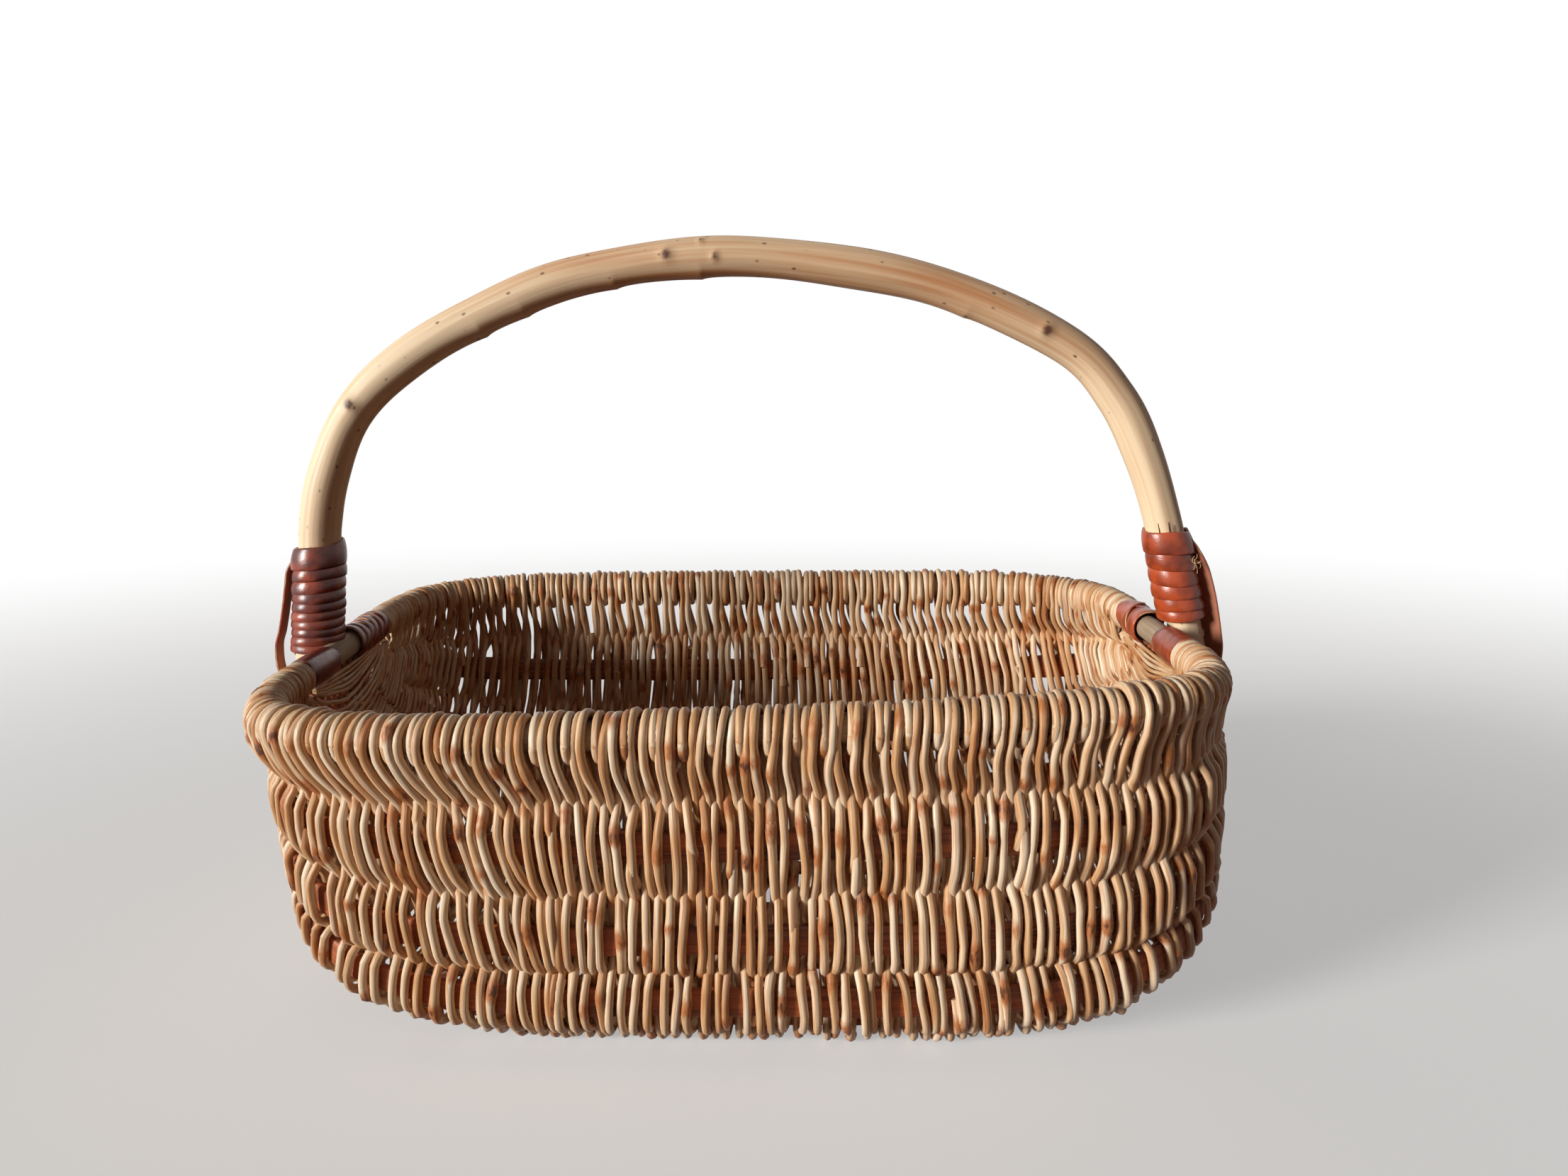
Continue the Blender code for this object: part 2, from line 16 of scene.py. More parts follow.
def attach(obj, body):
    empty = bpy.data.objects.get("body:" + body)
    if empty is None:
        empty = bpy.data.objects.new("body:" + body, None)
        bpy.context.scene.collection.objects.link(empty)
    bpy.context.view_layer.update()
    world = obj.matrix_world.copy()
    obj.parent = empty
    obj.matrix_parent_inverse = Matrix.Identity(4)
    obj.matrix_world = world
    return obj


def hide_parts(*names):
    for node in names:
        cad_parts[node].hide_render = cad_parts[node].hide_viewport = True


bl_info = {
    "name": "Wicker Basket",
    "version": (1, 0, 0),
    "blender": (4, 5, 0),
    "location": "3D View > Sidebar > Basket",
    "description": "Weaves a willow basket with a bent-rod handle and leather lashings",
    "category": "Object",
}

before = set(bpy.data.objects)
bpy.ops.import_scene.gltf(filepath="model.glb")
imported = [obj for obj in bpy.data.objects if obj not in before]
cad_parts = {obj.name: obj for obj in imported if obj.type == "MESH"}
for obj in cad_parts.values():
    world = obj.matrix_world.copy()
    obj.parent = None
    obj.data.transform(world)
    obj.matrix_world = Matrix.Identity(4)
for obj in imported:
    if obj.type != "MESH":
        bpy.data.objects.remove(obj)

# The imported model's own sizes
RIM_HALF_LENGTH = 0.220
RIM_HALF_WIDTH = 0.147
RIM_HEIGHT = 0.160
ROD_RADIUS = 0.0065
CORNER_POWER = 3.7
RIGHT_END_RISE, BACK_RISE, CORNER_TWIST = 0.0045, 0.0062, -0.0037
WALL_LEAN = math.radians(4.2)
FLOOR_CORNER_RADIUS = 0.022
SECTION_POWER = 4.2
FLOOR_LEVEL = 0.0066
BELLY, BELLY_LEAN, BELLY_POWER, BELLY_SET = 0.003, 0.0088, 0.4, 2.0
FLAT_FLOOR = 1.004
RIB_PLACES = (0.191, 0.355, 0.466, 0.61, 0.795, 1.0)
RIB_SHARES = np.array([p / 2 for p in RIB_PLACES] + [1 - p / 2 for p in reversed(RIB_PLACES[:-1])])
RIB_WIDTH, RIB_TIP_WIDTH, RIB_THICKNESS, RIB_TAPER = 0.014, 0.0045, 0.004, 0.8
RIB_END_SPREAD, RIB_END_TUCK, RIM_SEAT = 0.045, 0.012, 0.0108
FIRST_CROSSING = 0.057
HANDLE_TOP, HANDLE_RADIUS, LEG_RADIUS = 0.361, 0.0100, 0.0108
LEG_OFFSET, LEG_STRAIGHT, FOOT_DROP = 0.012, 0.062, 0.020
LEG_SLOPES = {-1: 0.09, 1: 0.14}
ARCH = (
    (-0.977, 0.231), (-0.911, 0.444), (-0.800, 0.614), (-0.629, 0.777), (-0.380, 0.932),
    (-0.056, 1.0), (0.265, 0.953), (0.507, 0.856), (0.751, 0.668), (0.863, 0.483), (0.931, 0.273),
)
FRONT_START, BACK_START = 0.018, 0.0125

# Air between two rods, or between a rod and the leather, that lie against each other
CLEARANCE = 0.0002

# Where the winding on the rim starts beside the leather, and where the weave's own rods join it
COLLAR_START, WINDING_START = 0.0510, 0.0590
COLLAR_PITCH, COLLAR_RADIUS = 0.0019, 0.00105

# The photograph's camera
PHOTO_WIDTH = 2212
FOCAL_PIXELS = 1600.0
CAMERA_PLACE = (0.03473, -0.59765, 0.28851)
CAMERA_YAW, CAMERA_PITCH, CAMERA_ROLL = -0.02248, -0.16436, -0.00469
SENSOR_WIDTH = 36.0

# How finely the body's surface is tabled, and how many sides the rods have
SHARE_STATIONS = 241
FRACTION_STATIONS = 481
ROD_SIDES, HOOP_SIDES, HANDLE_SIDES = 8, 18, 40
UP = np.array([0.0, 0.0, 1.0])


def linear(text):
    """A hex sRGB colour as the linear RGBA that shaders take."""
    channels = [int(text[i : i + 2], 16) / 255 for i in (1, 3, 5)]
    return (*(c / 12.92 if c <= 0.04045 else ((c + 0.055) / 1.055) ** 2.4 for c in channels), 1.0)


def colour(text, name, description):
    return FloatVectorProperty(
        name=name, description=description, default=linear(text),
        subtype="COLOR", size=4, min=0.0, max=1.0,
    )


def length(value, name, description):
    return FloatProperty(
        name=name, description=description, default=value, min=0.0, unit="LENGTH", precision=4
    )


class WillowSettings(bpy.types.PropertyGroup):
    thickness: length(0.0039, "Rod thickness", "Diameter of a willow rod at its middle")
    spacing: length(0.00325, "Row spacing", "Distance between one pass of the weave and the next")
    rod_length: length(0.75, "Rod length", "Length of one willow rod")
    wander: length(0.0008, "Wander", "How far a rod strays sideways where it crosses a lath")
    crook: length(0.00055, "Crook", "How far a rod bends from a smooth line between its buds")
    seed: IntProperty(name="Seed", description="Start of the random numbers", default=7)
    pale: colour("#e3ceb2", "Pale", "Colour of a freshly peeled rod")
    middle: colour("#c99a6a", "Middle", "Colour of most rods")
    dark: colour("#985528", "Dark", "Colour of tanned rods")
    tan: colour("#a8622e", "Tan", "Colour of the streaks that bark left")
    scar: colour("#54290f", "Scar", "Colour of knots and bark remains")


class LathSettings(bpy.types.PropertyGroup):
    pale: colour("#b9622f", "Pale", "Colour of the split face")
    dark: colour("#5a260e", "Dark", "Colour of its fibres")
    rod: colour("#a8927a", "Bare rod", "Colour of the rim's rod where nothing covers it")


class HandleSettings(bpy.types.PropertyGroup):
    knot_height: length(0.0011, "Knot height", "How far a knot stands out of the handle")
    facet_depth: FloatProperty(
        name="Facets", description="Depth of the knife's facets as a share of the radius",
        default=0.014,
    )
    pale: colour("#ecd2ae", "Pale", "Colour of the peeled wood")
    dark: colour("#bf875a", "Dark", "Colour of its darker grain")
    speck: colour("#4f2816", "Speck", "Colour of knots and specks")


class LeatherSettings(bpy.types.PropertyGroup):
    thickness: length(0.0017, "Thickness", "Thickness of the leather strip")
    grain: colour("#b04a24", "Grain side", "Colour of the glossy outer face")
    # Dark also carries the left side's painted shade, beside blotches and turns' own tones
    dark: colour("#52170d", "Dark", "Colour of folds and worn patches")
    flesh: colour("#a3654c", "Flesh side", "Colour of the suede inner face")
    edge: colour("#dcb98c", "Cut edge", "Colour of the raw edge")


class StageSettings(bpy.types.PropertyGroup):
    floor: colour("#f0ede9", "Floor", "Colour of the floor")
    bounce: colour("#5c3015", "Bounce", "Colour of the light that the floor sends up")
    key_power: FloatProperty(
        name="Key light", description="Strength of the window light from the left", default=4.3
    )
    back_power: FloatProperty(
        name="Back light", description="Power of the light from behind", default=1.0
    )
    fill: colour("#ff9a60", "Fill", "Colour of the light from all round")
    ambient: FloatProperty(
        name="Ambient", description="Strength of the light from all round", default=0.02
    )


# Geometry of the basket's surface


def unit(vectors):
    return vectors / np.maximum(np.linalg.norm(vectors, axis=-1, keepdims=True), 1e-12)


def distances(line):
    """How far along a line each of its points is."""
    return np.concatenate([[0.0], np.cumsum(np.linalg.norm(np.diff(line, axis=0), axis=1))])


def tangents_of(line, closed=False):
    if closed:
        return unit(np.roll(line, -1, axis=0) - np.roll(line, 1, axis=0))
    return unit(np.gradient(line, axis=0))


def square_to(line, out, closed=False):
    """The directions across a line and away from it, square to it and to each other."""
    tangents = tangents_of(line, closed)
    across = unit(np.cross(tangents, out))
    return across, np.cross(across, tangents)


def smooth(values):
    values = np.clip(values, 0.0, 1.0)
    return values * values * (3 - 2 * values)


def between(ways, stations, values, ease=smooth):
    """Values that ease from each station to the next."""
    index = np.clip(np.searchsorted(stations, ways, side="right") - 1, 0, len(stations) - 2)
    start, end = stations[index], stations[index + 1]
    part = ease(np.clip((ways - start) / np.maximum(end - start, 1e-9), 0.0, 1.0))
    return values[index] + (values[index + 1] - values[index]) * part


def settled(points):
    """Points of the body with the rim's uneven height, which fades out towards the floor."""
    points = np.array(points, dtype=float)
    share = np.clip((points[..., 2] - FLOOR_LEVEL) / (RIM_HEIGHT - FLOOR_LEVEL), 0.0, 1.0)
    u, v = points[..., 0] / RIM_HALF_LENGTH, points[..., 1] / RIM_HALF_WIDTH
    points[..., 2] += share * (RIGHT_END_RISE * u + BACK_RISE * v + CORNER_TWIST * u * v)
    return points


def section_point(share):
    """The middle section's (y, z) at a share, and half the way from rim to rim."""
    turn = math.pi / 2 - WALL_LEAN
    tangent_height = FLOOR_LEVEL + FLOOR_CORNER_RADIUS * (1 - math.sin(WALL_LEAN))
    wall = (RIM_HEIGHT - tangent_height) / math.cos(WALL_LEAN)
    centre_y = -RIM_HALF_WIDTH + wall * math.sin(WALL_LEAN)
    centre_y += FLOOR_CORNER_RADIUS * math.cos(WALL_LEAN)
    corner = FLOOR_CORNER_RADIUS * turn
    half_girth = wall + corner - centre_y
    way = share * 2 * half_girth
    side = 1.0 if way <= half_girth else -1.0
    way = min(way, 2 * half_girth - way)
    if way < wall:
        y = -RIM_HALF_WIDTH + way * math.sin(WALL_LEAN)
        z = RIM_HEIGHT - way * math.cos(WALL_LEAN)
    elif way < wall + corner:
        angle = WALL_LEAN + (way - wall) / FLOOR_CORNER_RADIUS
        y = centre_y - FLOOR_CORNER_RADIUS * math.cos(angle)
        z = FLOOR_LEVEL + FLOOR_CORNER_RADIUS * (1 - math.sin(angle))
    else:
        y = centre_y + way - wall - corner
        z = FLOOR_LEVEL
    return side * y, z, half_girth


GIRTH = 2 * section_point(0.0)[2]


def reach(angles, depth, power):
    """Distance from the centre of a superellipse with the rim's half length and this depth."""
    across = np.abs(np.cos(angles)) / RIM_HALF_LENGTH
    down = np.abs(np.sin(angles)) / depth
    return (across**power + down**power) ** (-1 / power)


def station_angles(count):
    """Angles from end to end that lie closer together at the corners."""
    even = np.linspace(0.0, math.pi, count)
    across = np.sign(np.cos(even)) * np.abs(np.cos(even)) ** (2 / CORNER_POWER) * RIM_HALF_LENGTH
    down = np.maximum(np.sin(even), 0.0) ** (2 / CORNER_POWER) * RIM_HEIGHT
    return (even + np.arctan2(down, across)) / 2


def points_at(ways, stations, points):
    """A line's points at ways along it."""
    return np.stack([np.interp(ways, stations, values) for values in points.T], axis=1)


def evened(points, extra, count):
    """The points and one more value of a line at even distances along it, and its length."""
    way = distances(points)
    even = np.linspace(0.0, way[-1], count)
    return points_at(even, way, points), np.interp(even, way, extra), way[-1]


class Body:
    """The laths' surface and the rim rod's middle line, as tables over share and fraction."""

    def __init__(self):
        angles = station_angles(900)
        shape = (SHARE_STATIONS, FRACTION_STATIONS)
        self.points = np.empty((*shape, 3))
        self.down = np.empty(shape)
        self.lengths = np.empty(SHARE_STATIONS)
        ends = np.linspace(0.0, 1.0, len(RIB_SHARES) + 2)
        for i, share in enumerate(np.linspace(0.0, 1.0, SHARE_STATIONS)):
            y_mid, z_mid, _ = section_point(share)
            fullness = math.sin(math.pi * share)
            y_end = RIB_END_SPREAD * (2 * np.interp(share, [0, *RIB_SHARES, 1], ends) - 1)
            z_end = RIM_HEIGHT - RIM_SEAT - RIB_END_TUCK * fullness
            depth = math.hypot(y_mid - y_end, z_mid - z_end)
            below = min(1.0, min(share, 1 - share) / RIB_SHARES[0])
            distance = reach(angles, depth, CORNER_POWER + (SECTION_POWER - CORNER_POWER) * below)
            down = np.minimum(1.0, FLAT_FLOOR * distance * np.sin(angles) / depth)
            out = down * (1 - below * (1 - down) ** 3)
            swell = fullness**BELLY_POWER * (1 - (1 - down) ** BELLY_SET)
            x = -distance * np.cos(angles) * (1 + BELLY / RIM_HALF_LENGTH * swell)
            x += BELLY_LEAN * swell
            y, z = y_end + (y_mid - y_end) * out, z_end + (z_mid - z_end) * down
            line = np.stack([x, y, z], axis=1)
            self.points[i], self.down[i], self.lengths[i] = evened(line, down, FRACTION_STATIONS)
        across = np.gradient(self.points, axis=0)
        along = np.gradient(self.points, axis=1)
        self.outward = unit(np.cross(across, along))
        depth = RIM_HALF_WIDTH - RIB_END_SPREAD
        distance = reach(angles, depth, CORNER_POWER)
        rim = np.stack(
            [
                -distance * np.cos(angles),
                -(RIB_END_SPREAD + distance * np.sin(angles)),
                np.full_like(angles, RIM_HEIGHT),
            ],
            axis=1,
        )
        self.rim, _, self.rim_length = evened(rim, angles, FRACTION_STATIONS)
        self.rim_outward = unit(np.cross(np.gradient(self.rim, axis=0), UP))

    def at(self, table, shares, fractions):
        """A table's values at shares and fractions."""
        u = np.clip(shares, 0.0, 1.0) * (SHARE_STATIONS - 1)
        v = np.clip(fractions, 0.0, 1.0) * (FRACTION_STATIONS - 1)
        i = np.minimum(u.astype(int), SHARE_STATIONS - 2)
        j = np.minimum(v.astype(int), FRACTION_STATIONS - 2)
        a, b = u - i, v - j
        if table.ndim == 3:
            a, b = a[:, None], b[:, None]
        low = (1 - b) * table[i, j] + b * table[i, j + 1]
        high = (1 - b) * table[i + 1, j] + b * table[i + 1, j + 1]
        return (1 - a) * low + a * high

    def rim_at(self, side, fractions):
        """The rim rod's middle line and its outward direction, in front (-1) or behind (1)."""
        v = np.clip(np.atleast_1d(fractions), 0.0, 1.0) * (FRACTION_STATIONS - 1)
        j = np.minimum(v.astype(int), FRACTION_STATIONS - 2)
        b = (v - j)[:, None]
        point = (1 - b) * self.rim[j] + b * self.rim[j + 1]
        outward = unit((1 - b) * self.rim_outward[j] + b * self.rim_outward[j + 1])
        mirror = np.array([1.0, -float(side), 1.0])
        return point * mirror, outward * mirror


# Meshes swept along lines


def transported(points, first, closed=False):
    """Directions square to a line that turn with it and don't twist."""
    result = np.empty_like(points)
    side = np.array(first, dtype=float)
    for index, tangent in enumerate(tangents_of(points, closed)):
        side = side - tangent * side.dot(tangent)
        side /= math.sqrt(side.dot(side))
        result[index] = side
    return result


def round_profile(sides):
    angles = np.arange(sides) * 2 * math.pi / sides
    return np.stack([np.cos(angles), np.sin(angles)], axis=1)


# Sections of a leather strip and of a lath, the outer side up, in half widths and half thicknesses
STRIP_PROFILE = np.array(
    [
        (1.0, -0.3), (1.0, 0.3), (0.95, 0.75), (0.82, 1.0), (0.45, 1.12), (0.0, 1.18),
        (-0.45, 1.12), (-0.82, 1.0), (-0.95, 0.75), (-1.0, 0.3), (-1.0, -0.3),
        (-0.96, -0.75), (-0.85, -1.0), (0.0, -1.0), (0.85, -1.0), (0.96, -0.75),
    ]
)
LATH_PROFILE = np.array(
    [
        (1.0, -0.35), (1.0, 0.35), (0.9, 0.85), (0.6, 1.0), (0.0, 1.04),
        (-0.6, 1.0), (-0.9, 0.85), (-1.0, 0.35), (-1.0, -0.35), (-0.9, -0.85),
        (-0.6, -1.0), (0.0, -1.02), (0.6, -1.0), (0.9, -0.85),
    ]
)

# Edges steeper than this stay sharp, such as a strip's cut edge
SHARP_ANGLE = math.radians(62)


def add_object(name, data):
    item = bpy.data.objects.new(name, data)
    bpy.context.scene.collection.objects.link(item)
    return item


class Bundle:
    """Swept rods or strips gathered into one mesh.

    Each point keeps its place in its own rod, as if that were straight (attribute "grain"), and its
    finish (attribute "finish": tone, mark, side of the strip).
    """

    def __init__(self):
        self.points, self.faces, self.grain, self.finish = [], [], [], []
        self.count = 0

    def sweep(
        self, line, out, profile, scale,
        tone=0.5, mark=0.0, flesh=0.0, closed=False, origin=(0, 0, 0),
    ):
        """Carries a profile along a line.

        The scale is its half size across and out, at each point or all along. Tone, mark and flesh
        are one number, or one for each point of the line, or one for each point of the mesh.
        """
        n, k = len(line), len(profile)
        across, outward = square_to(line, out, closed)
        scale = np.broadcast_to(np.asarray(scale, dtype=float), (n, 2))
        u = profile[None, :, 0] * scale[:, None, 0]
        v = profile[None, :, 1] * scale[:, None, 1]
        points = line[:, None] + across[:, None] * u[..., None] + outward[:, None] * v[..., None]
        way = np.broadcast_to(distances(line)[:, None], (n, k))
        grain = np.stack([u, v, way], axis=2) + np.array(origin)
        index = np.arange(n * k).reshape(n, k)
        following = np.roll(index, -1, axis=0) if closed else index[1:]
        current = index if closed else index[:-1]
        corners = [current, following, np.roll(following, -1, axis=1), np.roll(current, -1, axis=1)]
        quads = np.stack(corners, axis=2).reshape(-1, 4)
        if not closed:
            cap = np.array([[-m % k, m + 1, m + 2, (-m - 1) % k] for m in range(k // 2 - 1)])
            quads = np.concatenate([quads, cap, cap[:, ::-1] + (n - 1) * k])
        finish = np.empty((n, k, 4))
        for channel, values in enumerate((tone, mark, flesh, 1.0)):
            values = np.asarray(values, dtype=float)
            finish[..., channel] = values if values.ndim == 2 else values.reshape(-1, 1)
        self.faces.append(quads + self.count)
        self.points.append(points.reshape(-1, 3))
        self.grain.append(grain.reshape(-1, 3))
        self.finish.append(finish.reshape(-1, 4))
        self.count += n * k

    def build(self, name, material, slot, *nodes):
        """Makes the object, which rides on the basket and stands for CAD nodes."""
        points = np.concatenate(self.points).astype(np.float32)
        faces = np.concatenate(self.faces).astype(np.int32)
        mesh = bpy.data.meshes.new(name)
        starts = np.arange(0, faces.size, 4, dtype=np.int32)
        for rows, count, key, values in (
            (mesh.vertices, len(points), "co", points),
            (mesh.loops, faces.size, "vertex_index", faces),
            (mesh.polygons, len(faces), "loop_start", starts),
        ):
            rows.add(count)
            rows.foreach_set(key, values.ravel())
        mesh.update(calc_edges=True)
        for label, kind, key, values in (
            ("grain", "FLOAT_VECTOR", "vector", self.grain),
            ("finish", "FLOAT_COLOR", "color", self.finish),
        ):
            data = mesh.attributes.new(label, kind, "POINT").data
            data.foreach_set(key, np.concatenate(values).astype(np.float32).ravel())
        mesh.shade_smooth()
        mesh.set_sharp_from_angle(angle=SHARP_ANGLE)
        mesh.materials.append(material)
        item = add_object(name, mesh)
        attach(item, "root")
        if nodes:
            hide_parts(*nodes)
        return item


# Materials


def add_node(tree, kind, inputs=(), stops=(), **settings):
    """A node with its settings; inputs, in order or by key, take values or other nodes' outputs."""
    node = tree.nodes.new(kind)
    for key, value in settings.items():
        setattr(node, key, value)
    for key, value in inputs.items() if isinstance(inputs, dict) else enumerate(inputs):
        if isinstance(value, bpy.types.NodeSocket):
            tree.links.new(value, node.inputs[key])
        else:
            node.inputs[key].default_value = value
    for position, shade in stops:
        ramp = node.color_ramp.elements
        known = [e for e in ramp if abs(e.position - position) < 1e-6]
        (known[0] if known else ramp.new(position)).color = shade
    return node


def new_material(name):
    material = bpy.data.materials.new(name)
    material.use_nodes = True
    tree = material.node_tree
    return material, tree, tree.nodes["Principled BSDF"]


def place_and_finish(tree):
    """Where a point is in its own rod or strip, and the separate parts of its finish."""
    grain = add_node(tree, "ShaderNodeAttribute", attribute_name="grain").outputs["Vector"]
    finish = add_node(tree, "ShaderNodeAttribute", attribute_name="finish").outputs["Color"]
    return grain, add_node(tree, "ShaderNodeSeparateColor", {"Color": finish}).outputs


def stretched(tree, grain, scale, detail):
    """Noise drawn out along the grain; the scale is in grains per metre, across twice and along."""
    place = add_node(tree, "ShaderNodeVectorMath", (grain, scale), operation="MULTIPLY").outputs[0]
    inputs = {"Vector": place, "Scale": 1.0, "Detail": detail}
    return add_node(tree, "ShaderNodeTexNoise", inputs).outputs["Fac"]


def fibre_tone(tree, grain, tone, fibre_scale, patch_scale, details, patch_depth):
    """Fine fibres, and the piece's own tone with them and with darker patches of growth."""
    streak = stretched(tree, grain, fibre_scale, details[0])
    patch = stretched(tree, grain, patch_scale, details[1])
    for value, depth in ((patch, patch_depth), (streak, FIBRE_DEPTH)):
        inputs = (value, *NOISE_RANGE, -depth, depth)
        change = add_node(tree, "ShaderNodeMapRange", inputs, clamp=False).outputs[0]
        tone = add_node(tree, "ShaderNodeMath", (tone, change), operation="ADD").outputs[0]
    return streak, tone


def link_shader(tree, shader, base, rough, normal):
    for name, value in (("Base Color", base), ("Roughness", rough), ("Normal", normal)):
        tree.links.new(value, shader.inputs[name])


# Most of a noise lies between these values, and fibres change a wood's tone by up to this much
NOISE_RANGE = (0.3, 0.7)
FIBRE_DEPTH = 0.30

# Willow, in grains per metre across twice and along. Its fibres are finer than a tenth of a
# millimetre, too fine to show, so they are drawn 0.9 mm wide and 22 mm long. Blotches are
# 6 x 45 mm, streaks of bark 2 x 56 mm, and flakes of rind at the buds 1.7 x 5 mm.
WILLOW_FIBRES = (1100.0, 1100.0, 45.0)
WILLOW_BLOTCHES = (160.0, 160.0, 22.0)
WILLOW_BARK = (520.0, 520.0, 18.0)
WILLOW_FLAKES = (600.0, 600.0, 210.0)


def willow_material(settings):
    """Peeled willow, cut green and dried: satin, with a tone of its own for each rod.

    Long fine streaks and darker blotches run along the rod, so it reads as a split-free natural
    stick, and brown scars sit where buds were cut off.
    """
    material, tree, shader = new_material("peeled_willow")
    grain, parts = place_and_finish(tree)
    scales = (WILLOW_FIBRES, WILLOW_BLOTCHES)
    streak, tone = fibre_tone(tree, grain, parts["Red"], *scales, (3.0, 4.0), 0.32)
    stops = [(0.0, settings.pale), (0.48, settings.middle), (1.0, settings.dark)]
    wood = add_node(tree, "ShaderNodeValToRGB", (tone,), stops=stops).outputs[0]
    bark = stretched(tree, grain, WILLOW_BARK, 2.0)
    flakes = stretched(tree, grain, WILLOW_FLAKES, 3.0)
    inputs = (parts["Green"], flakes)
    bud = add_node(tree, "ShaderNodeMath", inputs, operation="MULTIPLY").outputs[0]
    # Streaks that bark left, then the brown ring round a bud, then its dark scar
    for inputs, over in (
        ((bark, 0.54, 0.68, 0.0, 0.6), settings.tan),
        ((bud, 0.10, 0.30, 0.0, 0.92), settings.tan),
        ((bud, 0.36, 0.48, 0.0, 0.95), settings.scar),
    ):
        share = add_node(tree, "ShaderNodeMapRange", inputs).outputs[0]
        inputs = {0: share, 6: wood, 7: over}
        wood = add_node(tree, "ShaderNodeMix", inputs, data_type="RGBA").outputs[2]
    rough = add_node(tree, "ShaderNodeMapRange", (streak, *NOISE_RANGE, 0.42, 0.62)).outputs[0]
    bump = add_node(tree, "ShaderNodeBump", {"Height": streak, "Strength": 0.4, "Distance": 0.0004})
    link_shader(tree, shader, wood, rough, bump.outputs["Normal"])
    shader.inputs["Specular IOR Level"].default_value = 0.45
    return material


def wood_material(name, colours, fibre_scale, patch_scale, speck_size, roughness):
    """Worked wood, its fibres along the piece: darker patches of growth and sparse specks."""
    material, tree, shader = new_material(name)
    pale, dark, speck = colours
    grain, parts = place_and_finish(tree)
    streak, tone = fibre_tone(tree, grain, parts["Red"], fibre_scale, patch_scale, (4.0, 2.0), 0.35)
    stops = [(0.0, pale), (1.0, dark)]
    wood = add_node(tree, "ShaderNodeValToRGB", (tone,), stops=stops).outputs[0]
    scale = (1.0 / speck_size, 1.0 / speck_size, 0.6 / speck_size)
    cells = add_node(tree, "ShaderNodeVectorMath", (grain, scale), operation="MULTIPLY").outputs[0]
    # One speck in a cell that is five specks across
    inputs = {"Vector": cells, "Scale": 0.2}
    dots = add_node(tree, "ShaderNodeTexVoronoi", inputs).outputs["Distance"]
    dot = add_node(tree, "ShaderNodeMapRange", (dots, 0.06, 0.14, 0.80, 0.0)).outputs[0]
    marks = add_node(tree, "ShaderNodeMath", (dot, parts["Green"]), operation="MAXIMUM").outputs[0]
    inputs = {0: marks, 6: wood, 7: speck}
    base = add_node(tree, "ShaderNodeMix", inputs, data_type="RGBA").outputs[2]
    rough = add_node(tree, "ShaderNodeMapRange", (streak, *NOISE_RANGE, *roughness)).outputs[0]
    bump = add_node(tree, "ShaderNodeBump", {"Height": streak, "Strength": 0.3, "Distance": 0.0004})
    link_shader(tree, shader, base, rough, bump.outputs["Normal"])
    return material


def leather_material(settings):
    """Vegetable-tanned leather strip, oiled: glossy red-brown, raw suede inside, pale cut edges.

    Soft blotches and pores break up the gloss, and the edges stay matte.
    """
    material, tree, shader = new_material("oiled_leather")
    grain, parts = place_and_finish(tree)
    # Blotches 8 mm wide. Pores are 0.1 mm, too fine to show, so they are drawn 0.5 mm wide.
    inputs = {"Vector": grain, "Scale": 130.0, "Detail": 5.0}
    blotch = add_node(tree, "ShaderNodeTexNoise", inputs).outputs["Fac"]
    inputs = {"Vector": grain, "Scale": 1900.0, "Detail": 2.0}
    pores = add_node(tree, "ShaderNodeTexNoise", inputs).outputs["Fac"]
    inputs = (blotch, 0.32, 0.68, -0.45, 0.45)
    change = add_node(tree, "ShaderNodeMapRange", inputs, clamp=False).outputs[0]
    # The tone holds each turn's own tone and, on the left side, painted shade
    tone = add_node(tree, "ShaderNodeMath", (parts["Red"], change), operation="ADD").outputs[0]
    stops = [(0.0, settings.grain), (1.0, settings.dark)]
    base = add_node(tree, "ShaderNodeValToRGB", (tone,), stops=stops).outputs[0]
    inputs = (parts["Green"], blotch)
    worn = add_node(tree, "ShaderNodeMath", inputs, operation="MULTIPLY").outputs[0]
    wear = add_node(tree, "ShaderNodeMapRange", (worn, 0.44, 0.60, 0.0, 0.85)).outputs[0]
    for share, over in ((parts["Blue"], settings.flesh), (wear, settings.edge)):
        inputs = {0: share, 6: base, 7: over}
        base = add_node(tree, "ShaderNodeMix", inputs, data_type="RGBA").outputs[2]
    matte = add_node(tree, "ShaderNodeMath", (parts["Blue"], wear), operation="MAXIMUM").outputs[0]
    gloss = add_node(tree, "ShaderNodeMapRange", (blotch, *NOISE_RANGE, 0.24, 0.42)).outputs[0]
    rough = add_node(tree, "ShaderNodeMapRange", (matte, 0.0, 1.0, gloss, 0.85)).outputs[0]
    inputs = {"Height": pores, "Strength": 0.25, "Distance": 0.0002}
    fine = add_node(tree, "ShaderNodeBump", inputs).outputs["Normal"]
    inputs = {"Height": blotch, "Strength": 0.3, "Distance": 0.0012, "Normal": fine}
    soft = add_node(tree, "ShaderNodeBump", inputs).outputs["Normal"]
    link_shader(tree, shader, base, rough, soft)
    return material


